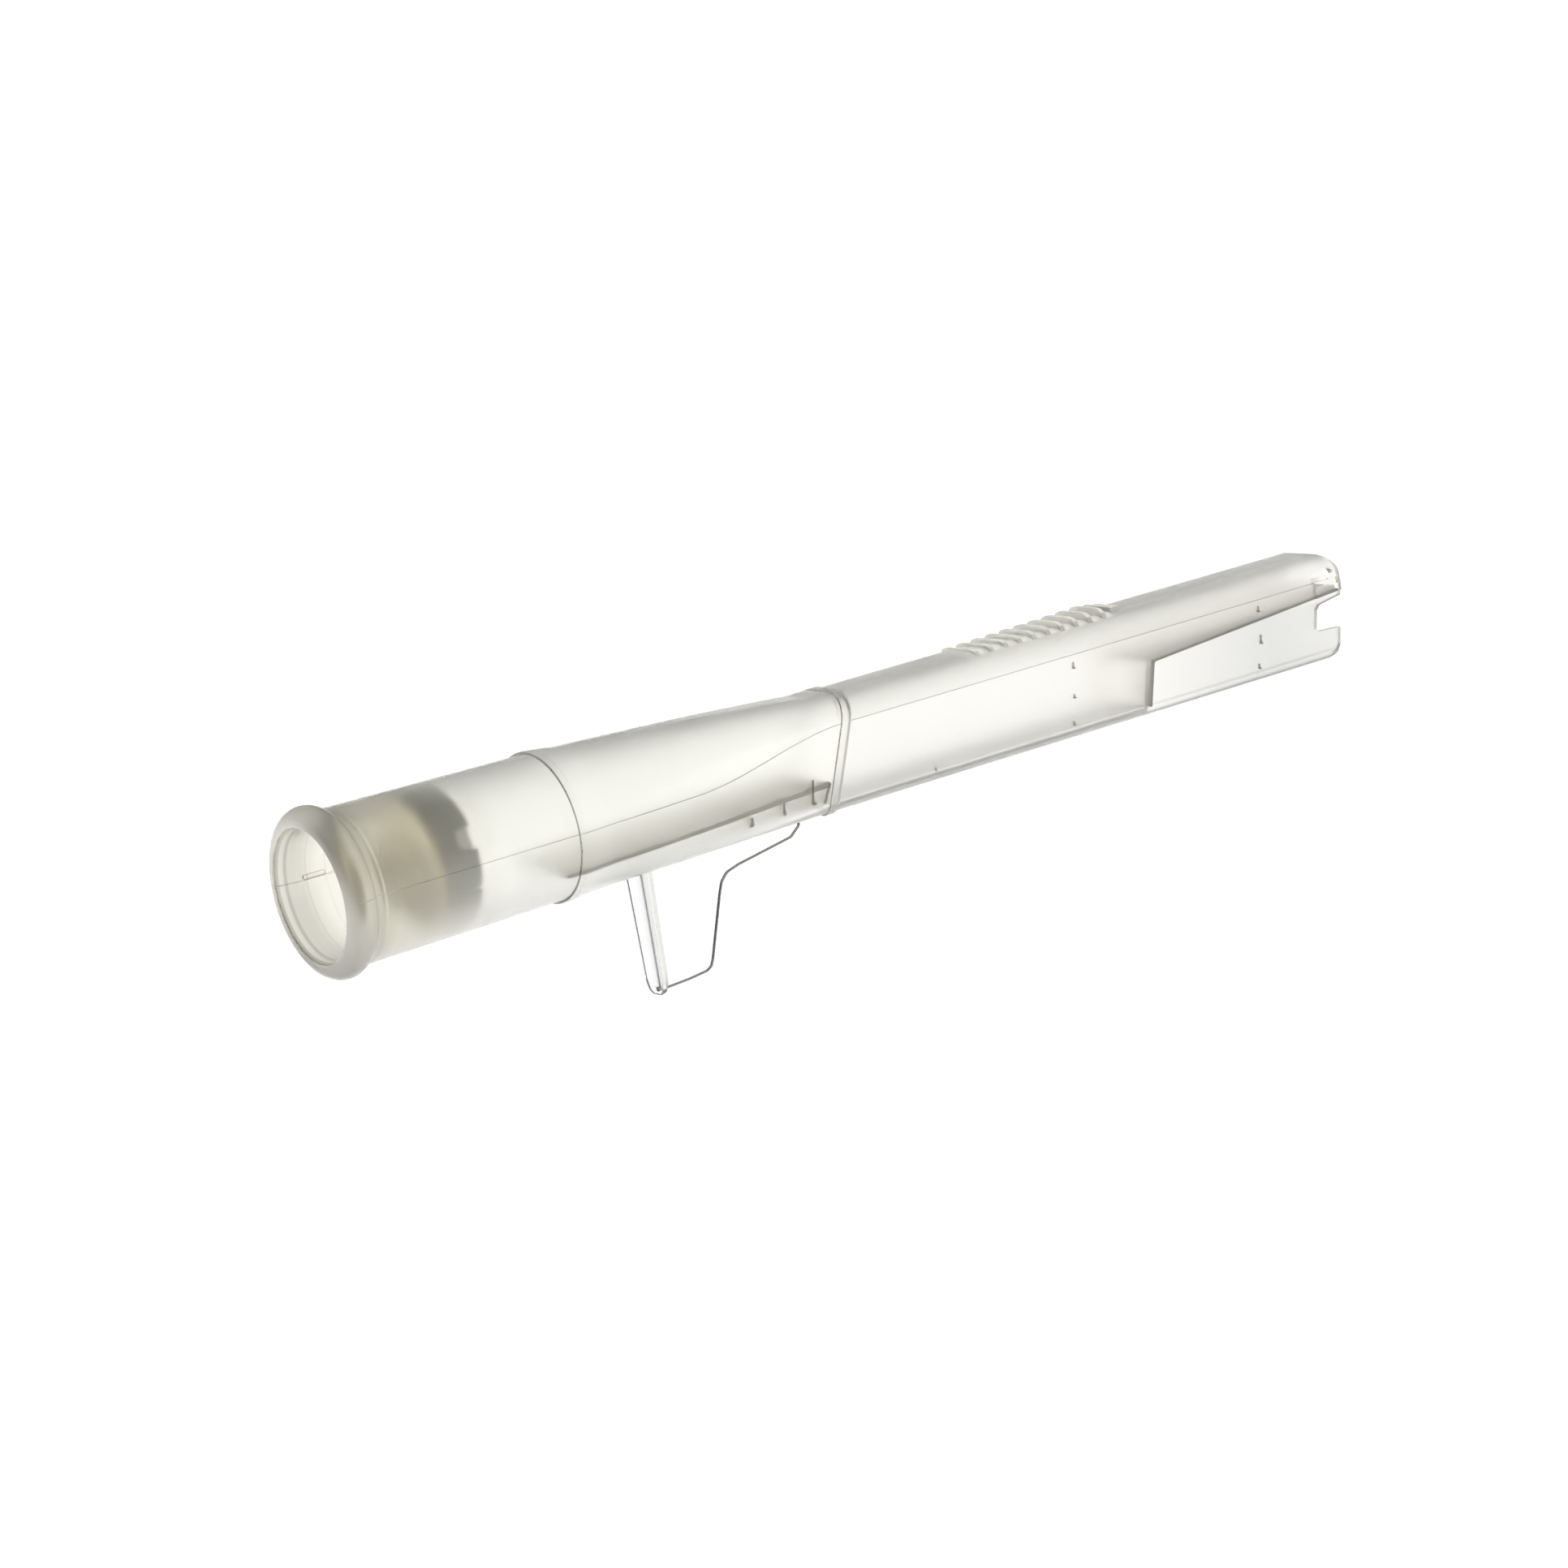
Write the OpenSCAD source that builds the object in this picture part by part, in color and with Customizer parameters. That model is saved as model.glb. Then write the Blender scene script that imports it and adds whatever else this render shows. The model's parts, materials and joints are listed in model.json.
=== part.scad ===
// Hand-held suction nozzle: a round hose socket that blends into a flat
// rectangular duct, with a thumb grip on top and a finger fin underneath.
// +X runs from the round mouth to the tool end, +Z is up (thumb side).
// The origin is the centre of the mouth's front plane.

/* [Hose socket] */
// Outside diameter of the barrel next to the rim bead
barrel_od = 26.9; // [26.4:0.1:27.4]
// Outside diameter of the barrel next to the stop ring
barrel_od_rear = 25.7; // [25.5:0.1:26.2]
// Bore that takes the hose cuff
socket_bore = 22.4; // [22.3:0.05:22.5]
// Depth of the hose bore
socket_depth = 14; // [12:0.5:14]
// Outside diameter of the rim bead
rim_od = 29.6; // [28.6:0.1:30.4]
// Width of the rim bead along the barrel
rim_w = 5.5; // [4.6:0.1:5.8]
// Start of the stop ring, measured from the mouth
ring_x = 45; // [44.6:0.1:45.2]
// Outside diameter of the stop ring
ring_od = 26.7; // [26.5:0.1:27.2]

/* [Duct] */
// Outside width of the rectangular duct
duct_w = 16; // [15.6:0.1:16.4]
// Top of the duct above the barrel axis
duct_top = 9.2; // [9:0.1:9.6]
// Bottom of the duct below the barrel axis
duct_bottom = 10.7; // [10.4:0.1:11]
// Radius of the two top shoulders
shoulder_r = 5.4; // [5:0.1:5.8]
// Wall thickness of the duct
wall = 1.4; // [1.2:0.1:1.5]
// Far end of the duct
duct_end = 222.4; // [221:0.2:224]
// Height of the parting line on the duct
seam_z = 4.4; // [4.2:0.1:4.6]
// Length along which the round barrel becomes rectangular
blend_len = 54.8; // [52:0.2:55]

/* [Collar] */
// Width of the collar band
collar_w = 2.2; // [2:0.1:2.4]
// How far the collar stands proud of the duct
collar_h = 0.35; // [0.25:0.05:0.5]
// Rake of the collar, sideways shift for each unit of height
rake = 0.38; // [0.36:0.01:0.4]

/* [Thumb grip] */
// Number of grip ribs
rib_count = 10; // [8:1:10]
// Distance between ribs
rib_pitch = 3.3; // [3.2:0.05:3.3]
// Width of the ribs across the duct
rib_w = 10.4; // [9:0.1:10.6]
// Height of the first rib above the duct
rib_h0 = 0.45; // [0.4:0.05:0.6]
// Height of the last rib above the duct
rib_h1 = 1.35; // [1.1:0.05:1.6]

/* [Finger fin] */
// Front-to-back position of the flange
fin_x = 62.4; // [62:0.1:62.8]
// Flange thickness
flange_t = 1.1; // [0.9:0.1:1.4]
// Web thickness
web_t = 1; // [0.8:0.1:1.2]
// Lowest point of the fin below the barrel axis
fin_bottom = 34.4; // [34:0.1:35]

/* [Stopper] */
// Outside diameter of the stopper
plug_d = 22.1; // [22:0.05:22.15]
// Front face of the stopper, measured from the mouth
plug_x = 18.2; // [17.6:0.1:18.6]
// Overall length of the stopper
plug_len = 8.4; // [8:0.1:9]
// Number of fingers on the stopper's skirt
plug_fingers = 8; // [6:1:10]
// Width of the slits between the fingers
slit_w = 1.4; // [1:0.1:2.4]
// Width of the wide notch in the skirt
notch_w = 3.8; // [3:0.1:5]
// Depth of the wide notch in the skirt
notch_d = 3.6; // [3:0.1:4.2]

/* [Hidden] */
$fn = 96;
e = 0.01;
hw = duct_w/2;
zb = -duct_bottom;
zt = duct_top;
bottom_r = 1.5;
ring_end = ring_x + 1.2;
blend_end = ring_end + blend_len;
barrel_r = barrel_od/2;
barrel_r2 = barrel_od_rear/2;
inner_r2 = barrel_r2 - 1.2;
collar_x = 102.5;          // collar's front edge at the height of the axis
bulk_x = 175.8;            // bulkhead at the height of the axis
bulk_rake = 0.26;          // sideways shift of the bulkhead for each unit of height
ramp_z0 = -1.3;            // underside of the ramp at the bulkhead
ramp_z1 = 1.75;            // underside of the ramp at the duct's end
ramp_t = 1.1;
lug_x = 216.1;             // the end lugs start here
plastic = [0.93, 0.925, 0.90, 0.75];

// --- section and blend functions -------------------------------------------
function mix(a, b, s) = a + (b - a)*s;
function ease(t) = let (u = min(1, max(0, t))) u*u*(3 - 2*u);
function blend_s(x) = let (t = (x - ring_end)/blend_len) mix(min(1, max(0, t)), ease(t), 0.55);
function seam_at(x) = seam_z*ease((x - 71)/35);
// gentle swell of the top line between the barrel and the duct
function swell(x) = let (u = min(1, max(0, (x - ring_end)/blend_len))) 0.6*sin(180*u*u);
function arc(cy, cz, r, a0, a1, n) =
    [for (i = [0:n]) let (a = a0 + (a1 - a0)*i/n) [cy + r*cos(a), cz + r*sin(a)]];
// rounded section, inset by t from the outside surface
function section(x, t, n = 8) =
    let (s = blend_s(x),
         w = mix(barrel_r2, hw, s) - t,
         top = mix(barrel_r2, zt, s) + swell(x) - t,
         bot = mix(-barrel_r2, zb, s) + t,
         rt = min(mix(barrel_r2, shoulder_r, s) - t, w - 0.12),
         rb = min(max(0.4, mix(barrel_r2, bottom_r, s) - t), w - 0.12))
    concat(arc(w - rt, top - rt, rt, 0, 90, n), arc(-w + rt, top - rt, rt, 90, 180, n),
           arc(-w + rb, bot + rb, rb, 180, 270, n), arc(w - rb, bot + rb, rb, 270, 360, n));
// half width of the inside at position x and height z, below the axis
function inner_half(x, z) =
    let (s = blend_s(x), t = 1.2,
         w = mix(barrel_r2, hw, s) - t,
         bot = mix(-barrel_r2, zb, s) + t,
         rb = max(0.4, mix(barrel_r2, bottom_r, s) - t),
         c = bot + rb)
    z >= c ? w : (w - rb) + sqrt(max(0, rb*rb - (z - c)*(z - c)));

// closed skin through sections at the stations in xs
module loft(xs, t) {
    n = len(section(xs[0], t));
    pts = [for (x = xs) for (p = section(x, t)) [x, p[0], p[1]]];
    sides = [for (k = [0:len(xs) - 2]) for (i = [0:n - 1])
        let (a = k*n + i, b = k*n + (i + 1)%n, c = a + n, d = b + n)
        each [[a, d, b], [a, c, d]]];
    m = len(xs) - 1;
    polyhedron(pts, concat(sides, [[for (i = [0:n - 1]) i]], [[for (i = [n - 1:-1:0]) m*n + i]]), convexity = 6);
}
stations = [for (i = [0:11]) ring_end + blend_len*i/11];
module outer_blend() { loft(concat(stations, [110]), 0); }
module inner_blend() { loft(concat([ring_end - 1], [for (i = [1:11]) ring_end + blend_len*i/11], [111]), 1.2); }

// prism along Y from a side-view outline of [x, z] points
module side_prism(pts, y0, y1) {
    translate([0, y1, 0]) rotate([90, 0, 0]) linear_extrude(y1 - y0) polygon(pts);
}
// the duct's outline with exact rounded corners, inset by t, from x0 to x1
module duct_outline(t) {
    rt = shoulder_r - t;
    rb = max(0.4, bottom_r - t);
    w = hw - t; top = zt - t; bot = zb + t;
    union() {
        for (sy = [-1, 1]) {
            translate([sy*(w - rt), top - rt]) circle(r = rt);
            translate([sy*(w - rb), bot + rb]) circle(r = rb);
        }
        translate([-w + rt, bot + rb]) square([2*(w - rt), top - bot - rb]);
        translate([-w, bot + rb]) square([2*w, top - rt - bot - rb]);
        translate([-w + rb, bot]) square([2*(w - rb), 2*rb]);
    }
}
module duct_solid(t, x0, x1) {
    translate([x0, 0, 0]) rotate([90, 0, 90]) linear_extrude(x1 - x0) duct_outline(t);
}
// everything in front of the raked plane through x at axis height
module raked_front(x) {
    side_prism([[0, -60], [x - 60*rake, -60], [x + 60*rake, 60], [0, 60]], -40, 40);
}
// region above the parting line
module above_seam() {
    xs = [for (i = [0:12]) 71 + 35*i/12];
    side_prism(concat([[0, 0]], [for (x = xs) [x, seam_at(x)]], [[300, seam_z], [300, 60], [0, 60]]), -40, 40);
}
module below_seam() {
    xs = [for (i = [0:12]) 71 + 35*i/12];
    side_prism(concat([[0, 0]], [for (x = xs) [x, seam_at(x)]], [[300, seam_z], [300, -60], [0, -60]]), -40, 40);
}

// --- hose socket ------------------------------------------------------------
module hose_socket() {
    color(plastic)
    rotate([0, 90, 0]) difference() {
        union() {
            translate([0, 0, rim_w/2]) rotate_extrude() translate([rim_od/2 - rim_w/2, 0]) circle(d = rim_w);
            cylinder(r = rim_od/2 - rim_w/2, h = rim_w);
            translate([0, 0, rim_w/2]) cylinder(r1 = barrel_r, r2 = barrel_r2, h = ring_end - rim_w/2);
            translate([0, 0, ring_x]) cylinder(d = ring_od, h = ring_end - ring_x);
        }
        translate([0, 0, -1]) cylinder(d = socket_bore, h = socket_depth + 1);
        translate([0, 0, socket_depth - e]) cylinder(d = socket_bore + 0.6, h = 16);
        translate([0, 0, 29]) cylinder(r = inner_r2, h = 30);
    }
}

// --- round-to-rectangular transition ---------------------------------------
module transition_lower() {
    color(plastic)
    intersection() {
        difference() { outer_blend(); inner_blend(); }
        below_seam();
        raked_front(collar_x);
    }
}
module transition_upper() {
    color(plastic)
    intersection() {
        difference() { outer_blend(); inner_blend(); }
        above_seam();
        raked_front(collar_x);
    }
}
module collar() {
    color(plastic)
    difference() {
        intersection() {
            duct_solid(-collar_h, 90, 120);
            raked_front(collar_x + collar_w);
        }
        raked_front(collar_x);
        duct_solid(wall, 80, 130);
    }
}

// --- rectangular duct -------------------------------------------------------
function ramp_at(x) = ramp_z0 + (ramp_z1 - ramp_z0)*(x - bulk_x)/(duct_end - bulk_x);
module duct_body() {
    cx = collar_x + collar_w;
    color(plastic)
    difference() {
        duct_solid(0, 80, duct_end);
        raked_front(cx);
        above_seam();
        duct_solid(wall, 79, duct_end + 1);
        // the far wall and floor stop at the bulkhead; a narrow lip stays along the near wall
        side_prism([[bulk_x + bulk_rake*(zb - 1), zb - 1], [bulk_x + bulk_rake*ramp_z0, ramp_z0], [duct_end + 1, ramp_at(duct_end + 1)], [duct_end + 1, zb - 1]],
                   -hw + wall + 0.9, 20);
        // end lugs take over from here
        side_prism([[lug_x, ramp_at(lug_x)], [300, ramp_at(300)], [300, 20], [lug_x, 20]], -20, 20);
        // open notch in the end of the side plate
        side_prism([[230, 1.3], [duct_end, 0.95], [216.7, 0], [215.7, -1.2], [215.1, -4.1], [215.9, -4.75], [230, -5.6]], -20, 0);
        // raked end of the side plate, lower corner rounded off
        side_prism([[222.3, 2], [220.5, -8.4], [219.4, -9.9], [217.4, zb - 0.1], [217.4, -20], [240, -20], [240, 2]], -20, 20);
    }
}
module duct_cover() {
    cx = collar_x + collar_w;
    color(plastic)
    difference() {
        duct_solid(0, 80, duct_end);
        raked_front(cx);
        below_seam();
        duct_solid(wall, 79, duct_end + 1);
        side_prism([[lug_x, -20], [300, -20], [300, 20], [lug_x, 20]], -20, 20);
    }
}
module end_lugs() {
    color(plastic)
    difference() {
        duct_solid(0, lug_x, duct_end + 0.2);
        duct_solid(wall, lug_x - 1, duct_end + 2);
        side_prism([[lug_x - 1, ramp_at(lug_x - 1)], [300, ramp_at(300)], [300, -30], [lug_x - 1, -30]], -20, 20);
        // rounded upper corner and a slightly raked end face
        difference() {
            translate([duct_end - 3.8, -20, zt - 3.8]) cube([20, 40, 20]);
            translate([duct_end - 3.8 + 0.3, 20, zt - 3.8]) rotate([90, 0, 0]) cylinder(r = 3.8, h = 40);
        }
        side_prism([[duct_end + 0.3, 4.6], [duct_end - 0.2, -2], [240, -2], [240, 4.6]], -20, 20);
        // the end face slants back towards the far side
        translate([0, 0, -20]) linear_extrude(60) polygon([[duct_end + 0.4, -4], [duct_end - 3.9, hw + 1], [240, hw + 1], [240, -4]]);
        translate([220.3, -hw - 1, 5.2]) rotate([-90, 0, 0]) cylinder(d = 2, h = 4);
    }
}
module rear_ramp() {
    x0 = bulk_x + bulk_rake*ramp_z0;
    yi = hw - wall;
    color(plastic)
    union() {
        side_prism([[x0, ramp_z0], [duct_end - 0.6, ramp_at(duct_end - 0.6)], [duct_end - 0.6, ramp_at(duct_end - 0.6) + ramp_t], [x0 - 1.2, ramp_z0 + ramp_t + 0.1], [x0 - 1.3, ramp_z0]], -yi, yi);
        side_prism([[x0 - 1.3, ramp_z0 + 0.2], [x0, ramp_z0 + 0.2], [x0, ramp_z0], [bulk_x + bulk_rake*(zb + wall), zb + wall], [bulk_x + bulk_rake*(zb + wall) - 1.3, zb + wall]], -yi, yi);
    }
}

// --- thumb grip --------------------------------------------------------------
module thumb_grip() {
    x0 = 137.3;
    len_ = rib_pitch*(rib_count - 1);
    color(plastic)
    difference() {
        union() {
            for (i = [0:rib_count - 1]) {
                x = x0 + i*rib_pitch;
                h = zt + rib_h0 + (rib_h1 - rib_h0)*i/(rib_count - 1);
                side_prism([[x, 6], [x, h], [x + 1.1, h], [x + 2.8, zt + 0.2], [x + 2.8, 6]], -rib_w/2, rib_w/2);
            }
            translate([x0 - 0.6, -rib_w/2 + 0.3, 6]) cube([len_ + 3.2, rib_w - 0.6, zt + 0.22 - 6]);
            translate([x0 + len_ + 1, -rib_w/2 + 0.6, 6]) cube([1.7, rib_w - 1.2, zt + 0.95 - 6]);
            translate([x0 + len_ + 2.6, -rib_w/2 + 1.4, 6]) cube([1.5, rib_w - 2.8, zt + 0.8 - 6]);
        }
        duct_solid(0, 120, 190);
    }
}

// --- inside the transition ---------------------------------------------------
module inner_baffle() {
    x0 = 43; x1 = 100; z0 = -6.3; z1 = -5; gap = 0.1; t = 1;
    xs = [for (i = [0:9]) x0 + (x1 - x0)*i/9];
    function bz(x) = z0 + (z1 - z0)*(x - x0)/(x1 - x0);
    color(plastic)
    union() {
        // tapering floor plate, cut to the inside width at its lower face
        intersection() {
            side_prism([[x0, bz(x0) - t], [x1, bz(x1) - t], [x1, bz(x1)], [x0, bz(x0)]], -20, 20);
            translate([0, 0, -20]) linear_extrude(40) polygon(concat(
                [for (x = xs) [x, min(x > 97 ? hw - wall - 0.05 : 20, inner_half(x, bz(x) - t) - gap)]],
                [for (i = [9:-1:0]) [xs[i], -min(xs[i] > 97 ? hw - wall - 0.05 : 20, inner_half(xs[i], bz(xs[i]) - t) - gap)]]));
        }
        // support ribs under the plate
        for (x = [81.8, 89.1, 96.1]) {
            y = inner_half(x, -8.6) - 0.5;
            translate([x, -y, -8.6]) cube([0.9, 2*y, 8.6 + bz(x) - t + 0.2]);
        }
        // raked end wall
        side_prism([[x1 - 0.9, bz(x1) - t + 0.2], [x1, bz(x1) - t + 0.2], [x1 - 1.1, -8.8], [x1 - 2, -8.8]], -hw + wall + 0.4, hw - wall - 0.4);
    }
}

// --- finger fin --------------------------------------------------------------
module finger_fin() {
    color(plastic)
    difference() {
        union() {
            intersection() {
                rotate([90, 0, 90]) translate([0, 0, fin_x]) linear_extrude(flange_t)
                    polygon([[-3.8, -10], [-2.95, -fin_bottom + 2.4], [-2.3, -fin_bottom + 0.7], [-1.1, -fin_bottom], [1.1, -fin_bottom],
                             [2.3, -fin_bottom + 0.7], [2.95, -fin_bottom + 2.4], [3.8, -10]]);
                translate([0, -10, -60]) cube([100, 20, 60]);
            }
            side_prism([[fin_x + 0.5, -10], [fin_x + 0.5, -fin_bottom + 0.5], [69.6, -33.6], [73.4, -33.2], [74.5, -32.6], [75.1, -31.4],
                        [78.7, -20.6], [79.5, -18.6], [80.8, -17.3], [83.4, -16.6], [95.2, -14.7], [97.4, -13], [97.4, -9.5]],
                       -web_t/2, web_t/2);
        }
        outer_blend();
    }
}

// --- stopper -----------------------------------------------------------------
module mouth_plug() {
    r = plug_d/2;
    color([0.62, 0.60, 0.55])
    translate([plug_x, 0, 0]) rotate([0, 90, 0]) difference() {
        union() {
            cylinder(r = r, h = plug_len);
        }
        translate([0, 0, 1.6]) cylinder(r = r - 1.5, h = plug_len);
        // slits that leave flexible fingers round the skirt
        for (i = [0:plug_fingers - 1]) rotate([0, 0, 360*(i + 0.5)/plug_fingers])
            translate([0, -slit_w/2, plug_len - 4.2]) cube([r + 1, slit_w, 6]);
        // one slit is a wide notch, on the near side above the parting line
        rotate([0, 0, -112.5]) translate([0, -notch_w/2, plug_len - notch_d]) cube([r + 1, notch_w, 6]);
    }
}

hose_socket();
transition_lower();
transition_upper();
collar();
duct_body();
duct_cover();
end_lugs();
thumb_grip();
rear_ramp();
inner_baffle();
finger_fin();
mouth_plug();
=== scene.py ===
import json
import math
import bpy
import bmesh
from mathutils import Matrix, Vector

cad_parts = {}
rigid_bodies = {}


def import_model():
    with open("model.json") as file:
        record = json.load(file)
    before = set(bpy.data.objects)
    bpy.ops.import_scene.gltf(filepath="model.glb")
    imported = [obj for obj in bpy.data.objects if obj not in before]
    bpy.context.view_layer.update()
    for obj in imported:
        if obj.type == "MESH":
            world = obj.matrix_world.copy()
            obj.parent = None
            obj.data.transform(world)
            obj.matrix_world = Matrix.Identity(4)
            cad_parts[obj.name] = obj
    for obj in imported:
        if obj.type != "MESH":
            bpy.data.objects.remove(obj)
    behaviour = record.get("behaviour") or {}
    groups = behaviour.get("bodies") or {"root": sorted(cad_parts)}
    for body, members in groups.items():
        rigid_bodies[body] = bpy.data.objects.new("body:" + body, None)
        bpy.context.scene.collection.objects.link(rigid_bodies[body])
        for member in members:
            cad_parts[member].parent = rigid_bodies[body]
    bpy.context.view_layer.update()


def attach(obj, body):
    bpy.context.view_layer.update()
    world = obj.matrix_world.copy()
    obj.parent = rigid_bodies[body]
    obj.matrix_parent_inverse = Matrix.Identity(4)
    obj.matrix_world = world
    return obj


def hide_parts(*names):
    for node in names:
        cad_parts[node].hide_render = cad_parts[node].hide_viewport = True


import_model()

MM = 0.001
GAP = 0.02            # mm between loose pieces that touch
LAP = 0.015           # mm by which welded pieces run into each other

scene = bpy.context.scene
for o in list(bpy.data.objects):
    if o.type in ("LIGHT", "CAMERA"):
        bpy.data.objects.remove(o)


# ---------------------------------------------------------------- camera ----
def make_camera():
    az, el, roll = math.radians(-33.504), math.radians(11.507), math.radians(9.340)
    f, d0, u0, v0, half = 5388.575, 715.54, 380.557, 1105.220, 966.0
    right = Vector((math.cos(az), math.sin(az), 0))
    up = Vector((-math.sin(az)*math.sin(el), math.cos(az)*math.sin(el), math.cos(el)))
    back = Vector((math.sin(az)*math.cos(el), -math.cos(az)*math.cos(el), math.sin(el)))
    r = math.cos(roll)*right - math.sin(roll)*up
    u = math.sin(roll)*right + math.cos(roll)*up
    cx = (u0 - half)*d0/f
    cy = -(v0 - half)*d0/f
    c = (-cx*r - cy*u + d0*back)*MM
    cam = bpy.data.cameras.new("camera")
    cam.sensor_fit = "HORIZONTAL"
    cam.sensor_width = 36.0
    cam.lens = 36.0*f/1932.0
    cam.clip_start, cam.clip_end = 0.02, 60.0
    cam.dof.use_dof = False
    ob = bpy.data.objects.new("camera", cam)
    m = Matrix(((r.x, u.x, back.x, c.x), (r.y, u.y, back.y, c.y), (r.z, u.z, back.z, c.z), (0, 0, 0, 1)))
    ob.matrix_world = m
    scene.collection.objects.link(ob)
    scene.camera = ob


make_camera()


# ------------------------------------------------------------- materials ----
def frosted(name, base, var, rough, ior=1.45, trans=1.0, grain=0.02, scale=900.0, bump=0.0006, coat=0.7, density=0.0):
    """Moulded translucent plastic: a fine sparked skin, slow cloudy variation in the resin."""
    m = bpy.data.materials.new(name)
    m.use_nodes = True
    nt = m.node_tree
    n, l = nt.nodes, nt.links
    n.clear()
    out = n.new("ShaderNodeOutputMaterial")
    bs = n.new("ShaderNodeBsdfPrincipled")
    l.new(bs.outputs[0], out.inputs[0])
    tc = n.new("ShaderNodeTexCoord")
    # slow clouds in the resin
    cloud = n.new("ShaderNodeTexNoise")
    cloud.inputs["Scale"].default_value = 42.0
    cloud.inputs["Detail"].default_value = 4.0
    cloud.inputs["Roughness"].default_value = 0.55
    flow = n.new("ShaderNodeMapping")
    flow.inputs["Scale"].default_value = (0.22, 1.0, 1.0)
    l.new(tc.outputs["Object"], flow.inputs["Vector"])
    l.new(flow.outputs["Vector"], cloud.inputs["Vector"])
    ramp = n.new("ShaderNodeValToRGB")
    ramp.color_ramp.elements[0].position = 0.32
    ramp.color_ramp.elements[1].position = 0.72
    ramp.color_ramp.elements[0].color = (base[0] - var, base[1] - var, base[2] - 1.6*var, 1)
    ramp.color_ramp.elements[1].color = (*base, 1)
    l.new(cloud.outputs[0], ramp.inputs[0])
    l.new(ramp.outputs[0], bs.inputs["Base Color"])
    # roughness: fine spark texture with smoother patches
    grainy = n.new("ShaderNodeTexNoise")
    grainy.inputs["Scale"].default_value = scale
    grainy.inputs["Detail"].default_value = 3.0
    l.new(tc.outputs["Object"], grainy.inputs["Vector"])
    mr = n.new("ShaderNodeMapRange")
    mr.inputs["From Min"].default_value = 0.3
    mr.inputs["From Max"].default_value = 0.7
    mr.inputs["To Min"].default_value = max(0.02, rough - grain)
    mr.inputs["To Max"].default_value = rough + grain
    l.new(grainy.outputs[0], mr.inputs["Value"])
    l.new(mr.outputs[0], bs.inputs["Roughness"])
    bp = n.new("ShaderNodeBump")
    bp.inputs["Strength"].default_value = 0.35
    bp.inputs["Distance"].default_value = bump*MM*10
    l.new(grainy.outputs[0], bp.inputs["Height"])
    l.new(bp.outputs[0], bs.inputs["Normal"])
    bs.inputs["IOR"].default_value = ior
    bs.inputs["Transmission Weight"].default_value = trans
    bs.inputs["Metallic"].default_value = 0.0
    bs.inputs["Coat Weight"].default_value = coat
    bs.inputs["Coat Roughness"].default_value = 0.07
    bs.inputs["Coat IOR"].default_value = 1.45
    if density:
        # light that runs a long way through the resin is taken up
        va = n.new("ShaderNodeVolumeAbsorption")
        va.inputs["Color"].default_value = (0.10, 0.11, 0.17, 1)
        va.inputs["Density"].default_value = density
        l.new(va.outputs[0], out.inputs["Volume"])
    return m


def coordinate(nt, axis):
    n, l = nt.nodes, nt.links
    tc = n.new("ShaderNodeTexCoord")
    sep = n.new("ShaderNodeSeparateXYZ")
    l.new(tc.outputs["Object"], sep.inputs[0])
    if axis in "XYZ":
        return sep.outputs[axis]
    # distance from the barrel's axis
    comb = n.new("ShaderNodeCombineXYZ")
    l.new(sep.outputs["Y"], comb.inputs["Y"])
    l.new(sep.outputs["Z"], comb.inputs["Z"])
    length = n.new("ShaderNodeVectorMath")
    length.operation = "LENGTH"
    l.new(comb.outputs[0], length.inputs[0])
    return length.outputs["Value"]


def ramp_along(nt, axis, stops):
    """Colour along an axis of the piece. stops are (mm, colour)."""
    n, l = nt.nodes, nt.links
    x0, x1 = stops[0][0]*MM, stops[-1][0]*MM
    mr = n.new("ShaderNodeMapRange")
    mr.inputs["From Min"].default_value = x0
    mr.inputs["From Max"].default_value = x1
    l.new(coordinate(nt, axis), mr.inputs["Value"])
    ramp = n.new("ShaderNodeValToRGB")
    els = ramp.color_ramp.elements
    els[0].position, els[1].position = 0.0, 1.0
    els[0].color, els[1].color = (*stops[0][1], 1), (*stops[-1][1], 1)
    for x, c in stops[1:-1]:
        e = els.new((x*MM - x0)/(x1 - x0))
        e.color = (*c, 1)
    l.new(mr.outputs[0], ramp.inputs[0])
    return ramp.outputs[0]


def shaded_by(m, axis, stops, mask=None, socket="Base Color"):
    """Multiplies the piece's colour along an axis, where mask (another axis and stops) lets it."""
    nt = m.node_tree
    n, l = nt.nodes, nt.links
    bs = next(k for k in n if k.type == "BSDF_PRINCIPLED")
    src = bs.inputs[socket].links[0].from_socket
    tint = ramp_along(nt, axis, stops)
    mx = n.new("ShaderNodeMix")
    mx.data_type = "RGBA"
    mx.blend_type = "MULTIPLY"
    mx.inputs[0].default_value = 1.0
    if mask:
        l.new(ramp_along(nt, *mask), mx.inputs[0])
    l.new(src, mx.inputs[6])
    l.new(tint, mx.inputs[7])
    l.new(mx.outputs[2], bs.inputs[socket])


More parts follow.
